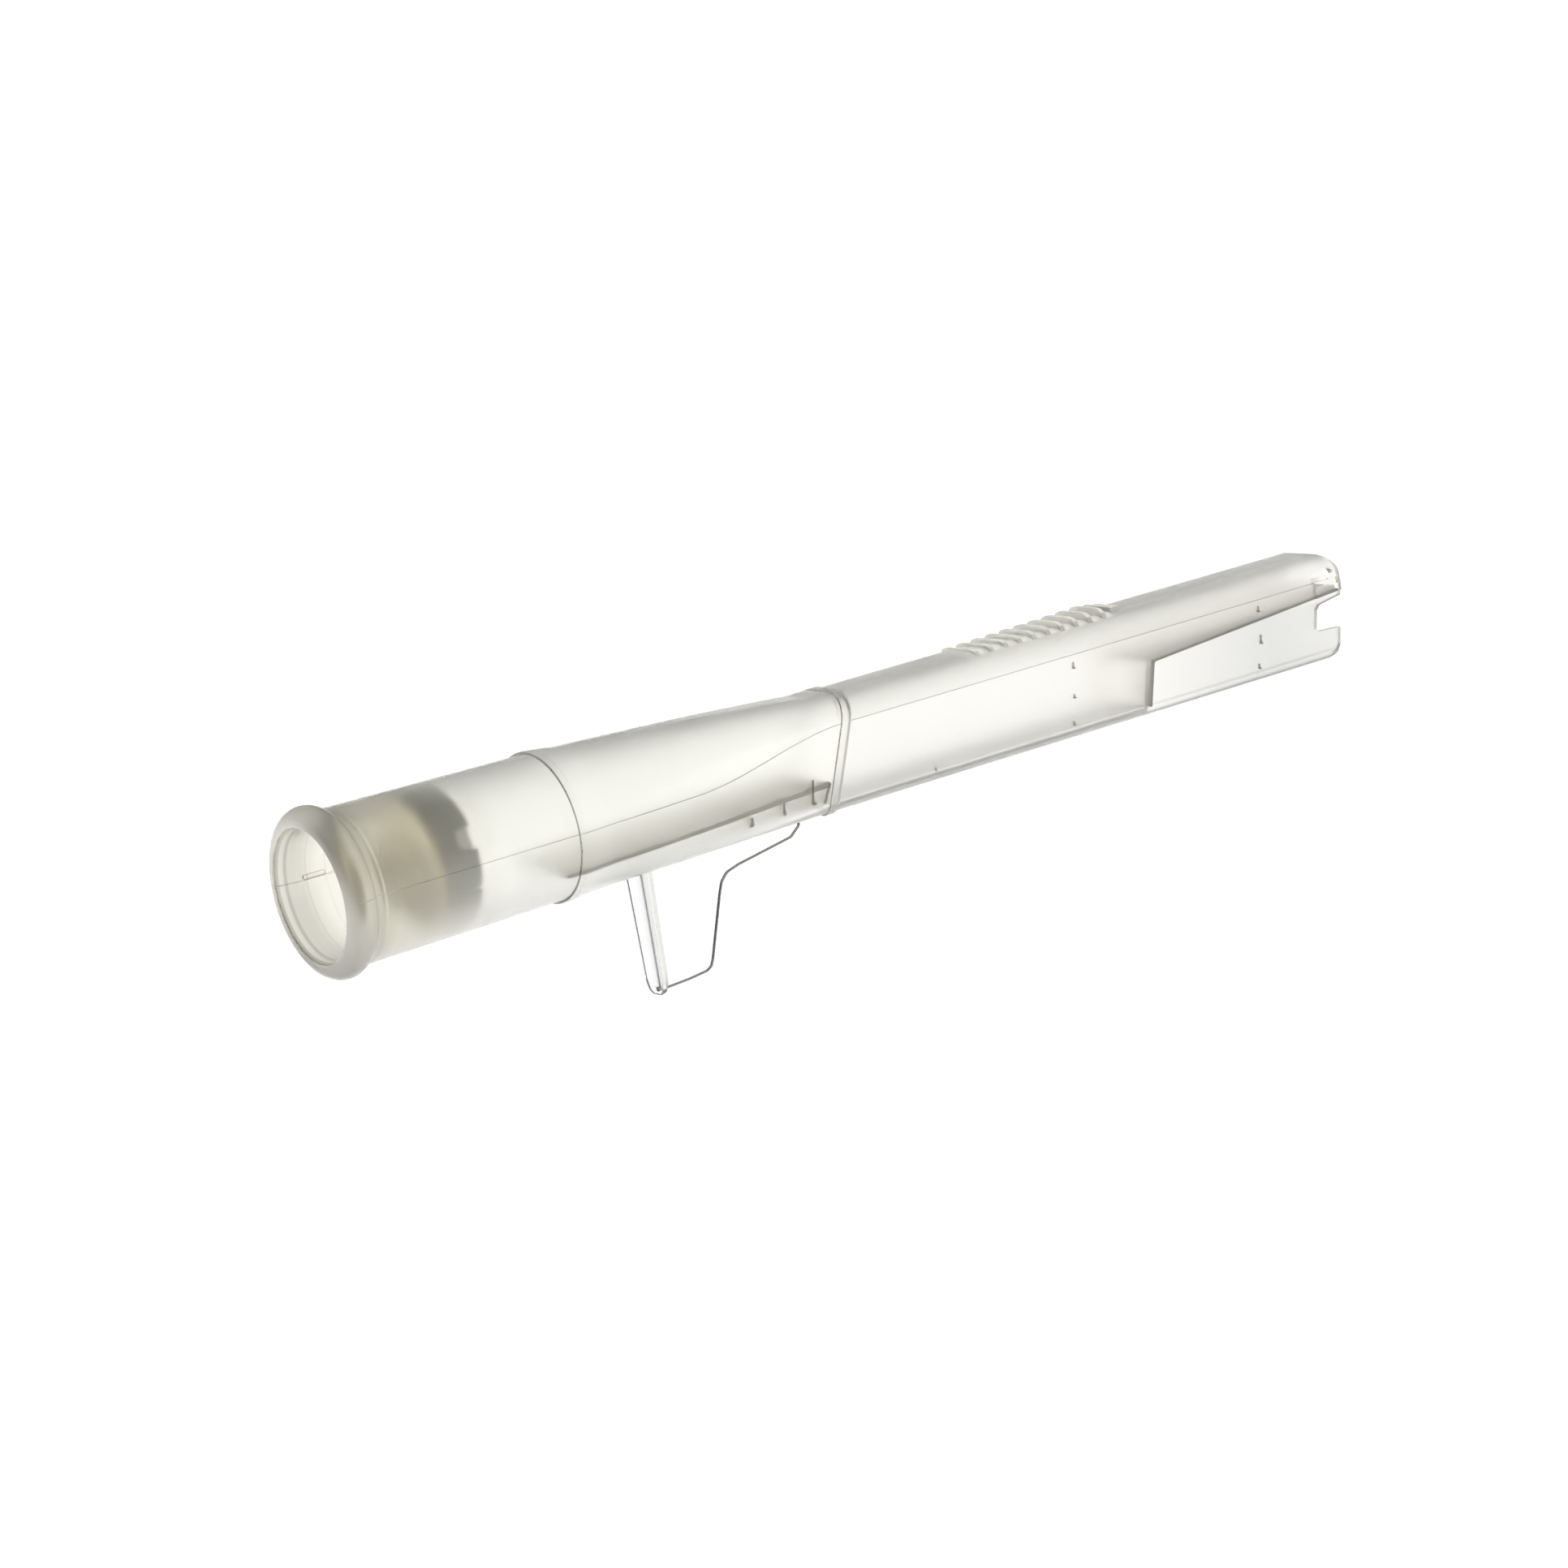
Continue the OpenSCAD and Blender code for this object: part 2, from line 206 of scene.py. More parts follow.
def solid_plastic(name, c0, c1, rough):
    m = bpy.data.materials.new(name)
    m.use_nodes = True
    nt = m.node_tree
    n, l = nt.nodes, nt.links
    n.clear()
    out = n.new("ShaderNodeOutputMaterial")
    bs = n.new("ShaderNodeBsdfPrincipled")
    l.new(bs.outputs[0], out.inputs[0])
    tc = n.new("ShaderNodeTexCoord")
    cloud = n.new("ShaderNodeTexNoise")
    cloud.inputs["Scale"].default_value = 160.0
    cloud.inputs["Detail"].default_value = 5.0
    l.new(tc.outputs["Object"], cloud.inputs["Vector"])
    ramp = n.new("ShaderNodeValToRGB")
    ramp.color_ramp.elements[0].position = 0.3
    ramp.color_ramp.elements[1].position = 0.7
    ramp.color_ramp.elements[0].color = (*c0, 1)
    ramp.color_ramp.elements[1].color = (*c1, 1)
    l.new(cloud.outputs[0], ramp.inputs[0])
    l.new(ramp.outputs[0], bs.inputs["Base Color"])
    grainy = n.new("ShaderNodeTexNoise")
    grainy.inputs["Scale"].default_value = 1400.0
    grainy.inputs["Detail"].default_value = 2.0
    l.new(tc.outputs["Object"], grainy.inputs["Vector"])
    mr = n.new("ShaderNodeMapRange")
    mr.inputs["To Min"].default_value = rough - 0.06
    mr.inputs["To Max"].default_value = rough + 0.06
    l.new(grainy.outputs[0], mr.inputs["Value"])
    l.new(mr.outputs[0], bs.inputs["Roughness"])
    bp = n.new("ShaderNodeBump")
    bp.inputs["Strength"].default_value = 0.3
    bp.inputs["Distance"].default_value = 0.00002
    l.new(grainy.outputs[0], bp.inputs["Height"])
    l.new(bp.outputs[0], bs.inputs["Normal"])
    bs.inputs["IOR"].default_value = 1.45
    return m


def weld():
    """The faces where two welded pieces run into each other: the resin goes straight on."""
    m = bpy.data.materials.new("weld_face")
    m.use_nodes = True
    bs = m.node_tree.nodes["Principled BSDF"]
    bs.inputs["Base Color"].default_value = (1, 1, 1, 1)
    bs.inputs["Roughness"].default_value = 0.0
    bs.inputs["IOR"].default_value = 1.005
    bs.inputs["Specular IOR Level"].default_value = 0.0
    bs.inputs["Transmission Weight"].default_value = 1.0
    return m


WHITE = (1.0, 1.0, 1.0)
BLACK = (0.0, 0.0, 0.0)
M_SHELL = frosted("frosted_shell", (0.998, 0.996, 0.966), 0.008, 0.37, ior=1.42, grain=0.05)
M_DUCT = frosted("frosted_duct", (0.972, 0.966, 0.938), 0.010, 0.37, ior=1.42, grain=0.05)
M_RIM = frosted("frosted_socket", (0.998, 0.994, 0.960), 0.010, 0.50, ior=1.42, grain=0.05)
M_COLLAR = frosted("frosted_collar", (0.955, 0.948, 0.905), 0.010, 0.34, ior=1.42, grain=0.05)
# painted shade: the outer skin's colour is darkened along X over the solid, thick bead and over the barrel in front
# of the stopper, for the shade that falls there
shaded_by(M_RIM, "X", [(0.0, (0.84, 0.83, 0.80)), (1.2, (0.66, 0.65, 0.61)), (3.6, (0.40, 0.39, 0.345)), (5.6, (0.41, 0.40, 0.35)), (7.2, (0.58, 0.565, 0.50)), (9.5, (0.75, 0.728, 0.66)),
                       (13.0, (0.82, 0.797, 0.73)), (19.0, (0.90, 0.882, 0.83)), (26.0, (0.97, 0.955, 0.925)), (31.0, WHITE)],
          mask=("R", [(11.75, BLACK), (12.4, WHITE)]))
# painted shade: dark bands in the bore's colour at the mouth's inner edge, at the step just inside the mouth and at
# two tool lines further in
BORE = (1.0, 0.995, 0.975)
shaded_by(M_RIM, "X", [(0.0, (0.88, 0.87, 0.83)), (0.35, (0.46, 0.45, 0.41)), (0.75, (0.50, 0.49, 0.45)), (0.9, BORE), (1.75, BORE),
                       (1.85, (0.55, 0.54, 0.50)), (2.25, (0.62, 0.61, 0.56)), (2.4, BORE), (5.75, BORE), (5.85, (0.78, 0.77, 0.72)), (6.0, (0.78, 0.77, 0.72)), (6.1, BORE),
                       (9.5, BORE), (9.6, (0.84, 0.83, 0.78)), (9.72, (0.84, 0.83, 0.78)), (9.82, BORE), (13.5, BORE), (15.0, WHITE)],
          mask=("R", [(11.75, WHITE), (11.95, BLACK)]))
# finer skin near the mouth, coarser over the stopper
shaded_by(M_RIM, "X", [(3.0, (0.45, 0.45, 0.45)), (8.0, (0.50, 0.50, 0.50)), (16.0, (0.9, 0.9, 0.9)), (19.0, WHITE), (28.0, WHITE), (31.0, (0.76, 0.76, 0.76))],
          mask=("R", [(11.75, WHITE), (11.95, BLACK)]), socket="Roughness")
shaded_by(M_RIM, "X", [(5.0, (0.80, 0.80, 0.80)), (9.0, (0.76, 0.76, 0.76)), (16.0, (0.9, 0.9, 0.9)), (19.0, WHITE), (28.0, WHITE), (31.0, (0.76, 0.76, 0.76))],
          mask=("R", [(11.75, BLACK), (11.95, WHITE)]), socket="Roughness")
# painted shade: the bare side plate past the bulkhead is greyed in its colour, more so towards its end
shaded_by(M_DUCT, "X", [(168.0, WHITE), (176.5, (0.89, 0.888, 0.88)), (190.0, (0.81, 0.81, 0.805)), (204.0, (0.73, 0.735, 0.74)), (216.0, (0.77, 0.77, 0.775)), (222.4, (0.80, 0.805, 0.81))],
          mask=("Z", [(-10.7, WHITE), (0.4, WHITE), (2.2, BLACK)]))
M_INNER = frosted("frosted_inner", (0.93, 0.912, 0.867), 0.03, 0.34, ior=1.42, grain=0.04, coat=0.0)
# painted shade: a dark colour for plate edges and faces against the near wall, standing in for the shade along them
M_EDGE_SHADE = frosted("plate_edge_shade", (0.33, 0.32, 0.28), 0.03, 0.30, ior=1.42, grain=0.04, coat=0.0)
# painted shade: a dark colour for the witness strokes and the locating bar's sides, standing in for the shade at them
M_MARK_SHADE = frosted("witness_mark_shade", (0.50, 0.49, 0.45), 0.04, 0.30, ior=1.42, grain=0.04, coat=0.0)
# painted shade: a dark colour on the faces of the parting line's hairline groove
M_HAIR_SHADE = frosted("parting_line_shade", (0.47, 0.46, 0.42), 0.03, 0.34, ior=1.42, grain=0.04, coat=0.0)
M_RIB = frosted("clear_ribs", (0.945, 0.94, 0.91), 0.01, 0.30, ior=1.36, grain=0.02, coat=0.2)
# painted shade: a near-clear material with a grey tint, so the hole's wall shows as a faint ring
M_HOLE_SHADE = frosted("hole_wall_shade", (0.84, 0.83, 0.80), 0.02, 0.14, ior=1.02, grain=0.03, coat=0.0)
# painted shade: the rib sides are coloured darker than the rib tops
M_RIBSIDE_SHADE = frosted("rib_side_shade", (0.55, 0.545, 0.51), 0.02, 0.30, ior=1.36, grain=0.02, coat=0.2)
# painted shade: a dark colour for the fin's narrow rims
M_FINEDGE_SHADE = frosted("fin_edge_shade", (0.47, 0.47, 0.435), 0.02, 0.25, ior=1.45, grain=0.02, coat=0.3)
M_CLEAR = frosted("clear_fin", (0.995, 0.994, 0.985), 0.006, 0.17, ior=1.45, grain=0.02, coat=0.3, bump=0.0002, density=60.0)
# painted shade: a grey band in the fin's colour at its thick root, where the web meets the flange
shaded_by(M_CLEAR, "X", [(63.5, WHITE), (63.75, (0.83, 0.828, 0.81)), (65.2, (0.86, 0.858, 0.84)), (65.7, WHITE)])
M_PLUG = solid_plastic("grey_stopper", (0.90, 0.90, 0.90), (1.0, 1.0, 1.0), 0.5)
shaded_by(M_PLUG, "X", [(18.0, (1.0, 0.925, 0.72)), (18.9, (0.88, 0.82, 0.66)), (20.0, (0.55, 0.548, 0.515)), (26.6, (0.51, 0.51, 0.485))])
# painted light and shade: lighter on top, darker below
shaded_by(M_PLUG, "Z", [(-11.0, (0.45, 0.45, 0.45)), (-4.0, (0.52, 0.52, 0.52)), (1.5, (0.66, 0.66, 0.66)), (5.0, (0.90, 0.90, 0.90)), (8.0, WHITE)])
M_SKIN = frosted("stopper_skin", (0.46, 0.455, 0.43), 0.05, 0.45, ior=1.42, grain=0.04, coat=0.0)
M_WELD = weld()


# ------------------------------------------------------- mesh foundations ----
def new_piece(name, verts, faces, mat, sharp=32.0, welds=()):
    """Mesh piece from points in mm. welds are the indices of the faces hidden inside a joint."""
    me = bpy.data.meshes.new(name)
    me.from_pydata([(v[0]*MM, v[1]*MM, v[2]*MM) for v in verts], [], faces)
    ob = bpy.data.objects.new(name, me)
    scene.collection.objects.link(ob)
    me.materials.append(mat)
    if welds:
        me.materials.append(M_WELD)
        for i in welds:
            me.polygons[i].material_index = 1
    me.validate()
    settle(ob, sharp)
    return ob


def paint(ob, mat, pick):
    """Give the faces chosen by pick(centre in mm, normal) another material."""
    me = ob.data
    me.materials.append(mat)
    k = len(me.materials) - 1
    for p in me.polygons:
        if pick(Vector(p.center)/MM, p.normal):
            p.material_index = k


def settle(ob, sharp=32.0, weighted=False):
    """Outward normals, smooth faces, sharp edges where the surface really turns."""
    me = ob.data
    bm = bmesh.new()
    bm.from_mesh(me)
    bmesh.ops.recalc_face_normals(bm, faces=bm.faces[:])
    if bm.calc_volume(signed=True) < 0:
        bmesh.ops.reverse_faces(bm, faces=bm.faces[:])
    bm.to_mesh(me)
    bm.free()
    for p in me.polygons:
        p.use_smooth = True
    me.set_sharp_from_angle(angle=math.radians(sharp))
    me.update()
    if weighted:
        # large flat faces keep their own normal next to the small rounded edges
        md = ob.modifiers.new("w", "WEIGHTED_NORMAL")
        md.mode = "FACE_AREA"
        md.weight = 50
        md.keep_sharp = True
        bpy.context.view_layer.update()
        dg = bpy.context.evaluated_depsgraph_get()
        new = bpy.data.meshes.new_from_object(ob.evaluated_get(dg), preserve_all_data_layers=True, depsgraph=dg)
        ob.modifiers.clear()
        ob.data = new
        bpy.data.meshes.remove(me)


def strips(rings, closed=True, offset=0):
    """Quads between neighbouring rings of equal length."""
    n = len(rings[0])
    faces = []
    for k in range(len(rings) - 1):
        a0, b0 = offset + k*n, offset + (k + 1)*n
        for i in range(n if closed else n - 1):
            j = (i + 1) % n
            faces.append((a0 + i, a0 + j, b0 + j, b0 + i))
    return faces


def ring_solid(rings, close_ends=False):
    """Closed tube through rings. Ends are capped by flat faces, or joined end to start."""
    verts = [p for r in rings for p in r]
    faces = strips(rings)
    n = len(rings[0])
    if close_ends:
        last = (len(rings) - 1)*n
        for i in range(n):
            j = (i + 1) % n
            faces.append((last + i, last + j, j, i))
    else:
        faces.append(tuple(range(n - 1, -1, -1)))
        faces.append(tuple((len(rings) - 1)*n + i for i in range(n)))
    return verts, faces


def fillet(poly, radii, seg=6):
    """Round the corners of a 2D polygon. radii is one number or one per corner."""
    out = []
    n = len(poly)
    for i, p in enumerate(poly):
        r = radii[i] if isinstance(radii, (list, tuple)) else radii
        a, b = Vector(poly[i - 1]), Vector(poly[(i + 1) % n])
        p = Vector(p)
        u, v = (a - p), (b - p)
        lu, lv = u.length, v.length
        if r <= 0 or lu < 1e-6 or lv < 1e-6:
            out.append(tuple(p))
            continue
        u, v = u/lu, v/lv
        ang = math.acos(max(-1, min(1, u.dot(v))))
        if ang > math.radians(176) or ang < math.radians(4):
            out.append(tuple(p))
            continue
        d = min(r/math.tan(ang/2), 0.46*lu, 0.46*lv)
        rr = d*math.tan(ang/2)
        bis = (u + v).normalized()
        c = p + bis*(rr/math.sin(ang/2))
        s, e = p + u*d, p + v*d
        a0 = math.atan2(s.y - c.y, s.x - c.x)
        a1 = math.atan2(e.y - c.y, e.x - c.x)
        da = (a1 - a0 + math.pi) % (2*math.pi) - math.pi
        for k in range(seg + 1):
            t = a0 + da*k/seg
            out.append((c.x + rr*math.cos(t), c.y + rr*math.sin(t)))
    return out


def inset(poly, d):
    """Polygon moved inward by d (mitred)."""
    area = sum(poly[i - 1][0]*poly[i][1] - poly[i][0]*poly[i - 1][1] for i in range(len(poly)))
    sgn = 1 if area > 0 else -1
    out = []
    n = len(poly)
    for i in range(n):
        p0, p1, p2 = Vector(poly[i - 1]), Vector(poly[i]), Vector(poly[(i + 1) % n])
        e1, e2 = (p1 - p0), (p2 - p1)
        if e1.length < 1e-9:
            e1 = e2
        if e2.length < 1e-9:
            e2 = e1
        n1 = Vector((-e1.y, e1.x)).normalized()*sgn
        n2 = Vector((-e2.y, e2.x)).normalized()*sgn
        m = (n1 + n2)
        if m.length < 1e-6:
            m = n1
        m = m.normalized()
        c = max(0.5, m.dot(n1))
        q = p1 + m*(d/c)
        out.append((q.x, q.y))
    return out


def soft_prism(poly, a0, a1, edge, place, seg=3):
    """Prism with rounded face edges. place(u, v, w) puts a polygon point at depth w."""
    rings = []
    for k in range(seg + 1):
        t = math.pi/2*k/seg
        ins = edge*(1 - math.sin(t))
        dep = edge*(1 - math.cos(t))
        rings.append([place(p[0], p[1], a0 + dep) for p in inset(poly, ins)])
    for k in range(seg, -1, -1):
        t = math.pi/2*k/seg
        ins = edge*(1 - math.sin(t))
        dep = edge*(1 - math.cos(t))
        rings.append([place(p[0], p[1], a1 - dep) for p in inset(poly, ins)])
    return ring_solid(rings)


def side_place(u, v, w):
    return (u, w, v)


def front_place(u, v, w):
    return (w, u, v)


def merge(parts):
    verts, faces = [], []
    for v, f in parts:
        k = len(verts)
        verts += v
        faces += [tuple(i + k for i in q) for q in f]
    return verts, faces


def boolean(ob, cutter, op="DIFFERENCE", drop=True):
    md = ob.modifiers.new("b", "BOOLEAN")
    md.operation = op
    md.solver = "EXACT"
    md.object = cutter
    bpy.context.view_layer.update()
    dg = bpy.context.evaluated_depsgraph_get()
    me = bpy.data.meshes.new_from_object(ob.evaluated_get(dg), preserve_all_data_layers=False, depsgraph=dg)
    old = ob.data
    ob.modifiers.clear()
    ob.data = me
    bpy.data.meshes.remove(old)
    if drop:
        cm = cutter.data
        bpy.data.objects.remove(cutter)
        bpy.data.meshes.remove(cm)
    return ob


def tidy(ob, dist=0.004):
    bm = bmesh.new()
    bm.from_mesh(ob.data)
    bmesh.ops.remove_doubles(bm, verts=bm.verts[:], dist=dist*MM)
    bmesh.ops.dissolve_degenerate(bm, edges=bm.edges[:], dist=dist*MM)
    bmesh.ops.dissolve_limit(bm, angle_limit=math.radians(0.4), use_dissolve_boundaries=False,
                             verts=bm.verts[:], edges=bm.edges[:])
    # a cut can leave a single face hanging loose
    loose = [f for f in bm.faces if all(len(e.link_faces) == 1 for e in f.edges)]
    if loose:
        bmesh.ops.delete(bm, geom=loose, context="FACES")
    bm.to_mesh(ob.data)
    bm.free()


def soften(ob, width, angle=38.0, seg=2):
    """Round the moulded edges. Keeps the old mesh if the result would not be closed."""
    before = volume(ob)
    keep = ob.data.copy()
    bm = bmesh.new()
    bm.from_mesh(ob.data)
    def hairline(e):
        """An edge of the hairline groove along the parting line stays as it is."""
        return all(abs(v.co.z/MM - SEAM) < 0.25 and abs(v.co.y/MM) > 6.2 for v in e.verts) and abs(e.verts[0].co.x - e.verts[1].co.x) > 5*MM

    edges = [e for e in bm.edges if len(e.link_faces) == 2 and e.calc_face_angle(0) > math.radians(angle)
             and not hairline(e) and not any(f.material_index == 1 for f in e.link_faces)]
    bmesh.ops.bevel(bm, geom=edges, offset=width*MM, offset_type="OFFSET", segments=seg, profile=0.5,
                    affect="EDGES", clamp_overlap=True, miter_outer="ARC")
    bmesh.ops.recalc_face_normals(bm, faces=bm.faces[:])
    bad = sum(1 for e in bm.edges if len(e.link_faces) != 2)
    bm.to_mesh(ob.data)
    bm.free()
    after = volume(ob)
    if bad or abs(after - before) > 0.05*before:
        print("soften put back", ob.name, bad, before, after)
        ob.data = keep
    return ob


def volume(ob):
    bm = bmesh.new()
    bm.from_mesh(ob.data)
    v = abs(bm.calc_volume(signed=True))*1e9
    bm.free()
    return v


def place_piece(ob, nodes, body="nozzle"):
    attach(ob, body)
    if nodes:
        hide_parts(*nodes)
    return ob


# --------------------------------------------------------- nozzle's shape ----
RING_END, BLEND, HW, ZT, ZB = 46.2, 54.8, 8.0, 9.2, -10.7
R1, R2, SH_R, BOT_R, WALL, TWALL = 13.45, 12.85, 5.4, 1.5, 1.4, 1.2
SEAM, COLLAR_X, COLLAR_W, RAKE = 4.4, 102.5, 2.2, 0.38
BULK_X, BULK_RAKE, DUCT_END = 175.8, 0.26, 222.4


def mix(a, b, s):
    return a + (b - a)*s


def ease(t):
    u = min(1.0, max(0.0, t))
    return u*u*(3 - 2*u)


def blend_s(x):
    t = (x - RING_END)/BLEND
    return mix(min(1.0, max(0.0, t)), ease(t), 0.55)


def seam_at(x):
    return SEAM*ease((x - 71)/35)


def swell(x):
    u = min(1.0, max(0.0, (x - RING_END)/BLEND))
    return 0.6*math.sin(math.pi*u*u) + (0.25*ease((x - 88)/13) if x < 106 else 0.0)


def dims(x, t):
    s = blend_s(x)
    w = mix(R2, HW, s) - t
    top = mix(R2, ZT, s) + swell(x) - t
    bot = mix(-R2, ZB, s) + t
    rt = min(mix(R2, SH_R, s) - t, w - 0.12)
    rb = min(max(0.4, mix(R2, BOT_R, s) - t), w - 0.12)
    return w, top, bot, rt, rb


def path_up(x, t, z0, n1, n2):
    """Half outline, y > 0, from height z0 up to the middle of the top."""
    w, top, bot, rt, rb = dims(x, t)
    zc = top - rt
    th0 = math.asin(min(1, max(0, (z0 - zc)/rt))) if z0 > zc else 0.0
    ls = max(0.0, zc - z0)
    la = rt*(math.pi/2 - th0)
    pts = []
    for i in range(n1 + 1):
        d = (ls + la)*i/n1
        if d < ls:
            pts.append((w, z0 + d))
        else:
            th = th0 + (d - ls)/rt
            pts.append((w - rt + rt*math.cos(th), zc + rt*math.sin(th)))
    for i in range(1, n2 + 1):
        pts.append(((w - rt)*(1 - i/n2), top))
    return pts


def path_down(x, t, z0, n1, n2, n3):
    """Half outline, y > 0, from height z0 down to the middle of the bottom."""
    w, top, bot, rt, rb = dims(x, t)
    zc = top - rt
    zl = bot + rb
    th0 = math.asin(min(1, max(0, (z0 - zc)/rt))) if z0 > zc else 0.0
    la = rt*th0
    ls = min(z0, zc) - zl
    pts = []
    for i in range(n1 + 1):
        d = (la + ls)*i/n1
        if d < la:
            th = th0 - d/rt
            pts.append((w - rt + rt*math.cos(th), zc + rt*math.sin(th)))
        else:
            pts.append((w, min(z0, zc) - (d - la)))
    for i in range(1, n2 + 1):
        th = math.pi/2*i/n2
        pts.append((w - rb + rb*math.cos(th), zl - rb*math.sin(th)))
    for i in range(1, n3 + 1):
        pts.append(((w - rb)*(1 - i/n3), bot))
    return pts


HAIR = 0.085          # mm, size of the groove at the parting line


def with_hair(path, t, up):
    """On the outer skin the edge at the parting line is broken by a hairline chamfer."""
    if t > 0:
        return path
    (y0, z0), (y1, z1) = path[0], path[1]
    d = math.hypot(y1 - y0, z1 - z0)
    u = (y0 + (y1 - y0)*HAIR/d, z0 + (z1 - z0)*HAIR/d)
    return [(y0 - HAIR, z0), u] + path[1:]


def mirror_path(half):
    """Half outline (y > 0) ending at y = 0, to the whole one, from +y to -y."""
    return half + [(-p[0], p[1]) for p in reversed(half[:-1])]


def shell_ring(xs, half_at, t, shear, outset=0.0):
    """Closed ring of a shell: outer path then inner path back. half_at(x, t) gives the half outline.
    shear moves each point along X by shear times its height."""
    def solve(tt):
        base = mirror_path(half_at(xs, tt))
        out = []
        cache = {}

        for i, p in enumerate(base):
            x = xs + shear*p[1]
            if shear:
                for _ in range(3):
                    key = round(x, 3)
                    if key not in cache:
                        cache[key] = mirror_path(half_at(x, tt))
                    q = cache[key][i]
                    x = xs + shear*q[1]
                out.append((x, q[0], q[1]))
            else:
                out.append((x, p[0], p[1]))
        return out
    return solve(-outset) + list(reversed(solve(t)))


def shell_solid(rings, n_out, n_in, weld_start=True, weld_end=True):
    """Rings of outer then reversed inner points. Returns points, faces and the welded faces."""
    verts = [p for r in rings for p in r]
    faces = strips(rings)
    m = n_out + n_in
    welds = []
    for k in range(len(rings) - 1):
        welds += [k*m + n_out - 1, k*m + m - 1]
    for end, base, flip in ((0, 0, True), (1, (len(rings) - 1)*m, False)):
        q = [base + i for i in range(m)]
        # cap: strip of quads between the two skins, with the extra outer points fanned in at both ends
        extra = (n_out - n_in)//2
        caps = []
        for i in range(n_in - 1):
            o = i + extra
            caps.append((q[o], q[o + 1], q[m - 2 - i], q[m - 1 - i]))
        for i in range(extra):
            caps.append((q[i], q[i + 1], q[m - 1]))
            j = n_out - 1 - i
            caps.append((q[j - 1], q[j], q[n_out]))
        for c in caps:
            if (weld_start, weld_end)[end]:
                welds.append(len(faces))
            faces.append(tuple(reversed(c)) if flip else c)
    return verts, faces, welds


def stations_blend():
    """(nominal x, shear) from the stop ring to the raked front of the collar."""
    x0, x1 = RING_END - LAP, COLLAR_X
    out = []
    n = 64
    for i in range(n + 1):
        u = i/n
        out.append((mix(x0, x1, u), RAKE*ease((u - 0.35)/0.65) if u < 1 else RAKE))
    return out


def paint_hairline_shade(ob):
    """The two faces of the groove along the parting line, coloured dark as painted shade."""
    paint(ob, M_HAIR_SHADE, lambda c, nrm: abs(c.z - seam_at(c.x)) < 0.10 and abs(nrm.y) > 0.25 and abs(nrm.z) > 0.25 and abs(c.y) > 6.5)


def flare(x):
    """The skin stands 0.45 mm proud at the stop ring and runs out behind it."""
    return 0.45*(1 - ease((x - RING_END)/6.5))


def make_transition_upper():
    rings = []
    for xs, sh in stations_blend():
        rings.append(shell_ring(xs, lambda x, t: with_hair(path_up(x, t, seam_at(x) - LAP/2, 26, 5), t, True), TWALL, sh, flare(xs)))
    n_in = 2*(26 + 5) + 1
    v, f, w = shell_solid(rings, n_in + 2, n_in)
    ob = new_piece("transition_top_shell", v, f, M_SHELL, welds=w)
    paint_hairline_shade(ob)
    return place_piece(ob, ["transition_upper"])


def make_transition_lower():
    rings = []
    for xs, sh in stations_blend():
        rings.append(shell_ring(xs, lambda x, t: with_hair(path_down(x, t, seam_at(x) + LAP/2, 22, 12, 6), t, False), TWALL, sh, flare(xs)))
    n_in = 2*(22 + 12 + 6) + 1
    v, f, w = shell_solid(rings, n_in + 2, n_in)
    ob = new_piece("transition_bottom_shell", v, f, M_SHELL, welds=w)
    paint_hairline_shade(ob)
    return place_piece(ob, ["transition_lower"])


# ------------------------------------------------------------ hose socket ----
def revolve(profile, angles):
    """Closed profile of (x, r) swept round the X axis."""
    rings = []
    for a, dr in angles:
        rings.append([(x, (r + (dr if k else 0))*math.cos(a), (r + (dr if k else 0))*math.sin(a)) for x, r, k in profile])
    return ring_solid(rings, close_ends=True)


def socket_profile():
    """(x, r, on the outer skin), front to back outside, back to front inside."""
    out = []
    cx, cr, rr = 2.75, 12.05, 2.75
    # flat front land, then the bead
    for i in range(33):
        th = math.pi - (math.pi + 0.10)*i/32*0.862      # from the front round over the crown
        x, r = cx + rr*math.cos(th), cr + rr*math.sin(th)
        out.append((x, r, i > 10))
    xb, rb = out[-1][0], out[-1][1]
    def barrel(x):
        return mix(R1, R2, (x - 2.75)/(RING_END - 2.75))
    # small fillet into the barrel
    out = [p for p in out if not (p[0] > 4.2 and p[1] < barrel(p[0]) + 0.30)]
    lx, lr, _ = out[-1]
    for i in range(1, 6):
        u = i/5
        out.append((mix(lx, 6.0, u), barrel(mix(lx, 6.0, u)) + (lr - barrel(lx))*(1 - u)**2.2, True))
    # raised witness ring behind the bead, then a shallow groove
    out += [(6.35, barrel(6.35) + 0.0, True), (6.5, barrel(6.5) + 0.02, True), (6.8, barrel(6.8) + 0.02, True),
            (6.95, barrel(6.95) - 0.012, True), (7.25, barrel(7.25) - 0.012, True), (7.4, barrel(7.4), True)]
    for x in (9, 12, 15, 18, 22, 26, 30, 34, 38, 42, 44.6):
        out.append((x, barrel(x), True))
    rr_ = 13.35
    out += [(44.97, barrel(45), True), (45.0, barrel(45) + 0.03, True), (45.01, rr_ - 0.14, True), (45.06, rr_ - 0.07, True),
            (45.16, rr_ - 0.04, True), (46.2, rr_ - 0.05, True)]
    # back face and bore
    bore = [(46.2, 11.65), (34.0, 11.65), (29.0, 11.5), (17.0, 11.5), (14.0, 11.2), (9.8, 11.2), (9.55, 11.2),
            (6.1, 11.2), (5.8, 11.2), (2.3, 11.2), (1.95, 11.36), (0.85, 11.36), (0.7, 11.44), (0.45, 11.66), (0.12, 11.66), (0.03, 11.72), (0.0, 11.82)]
    out += [(x, r, False) for x, r in bore]
    return out


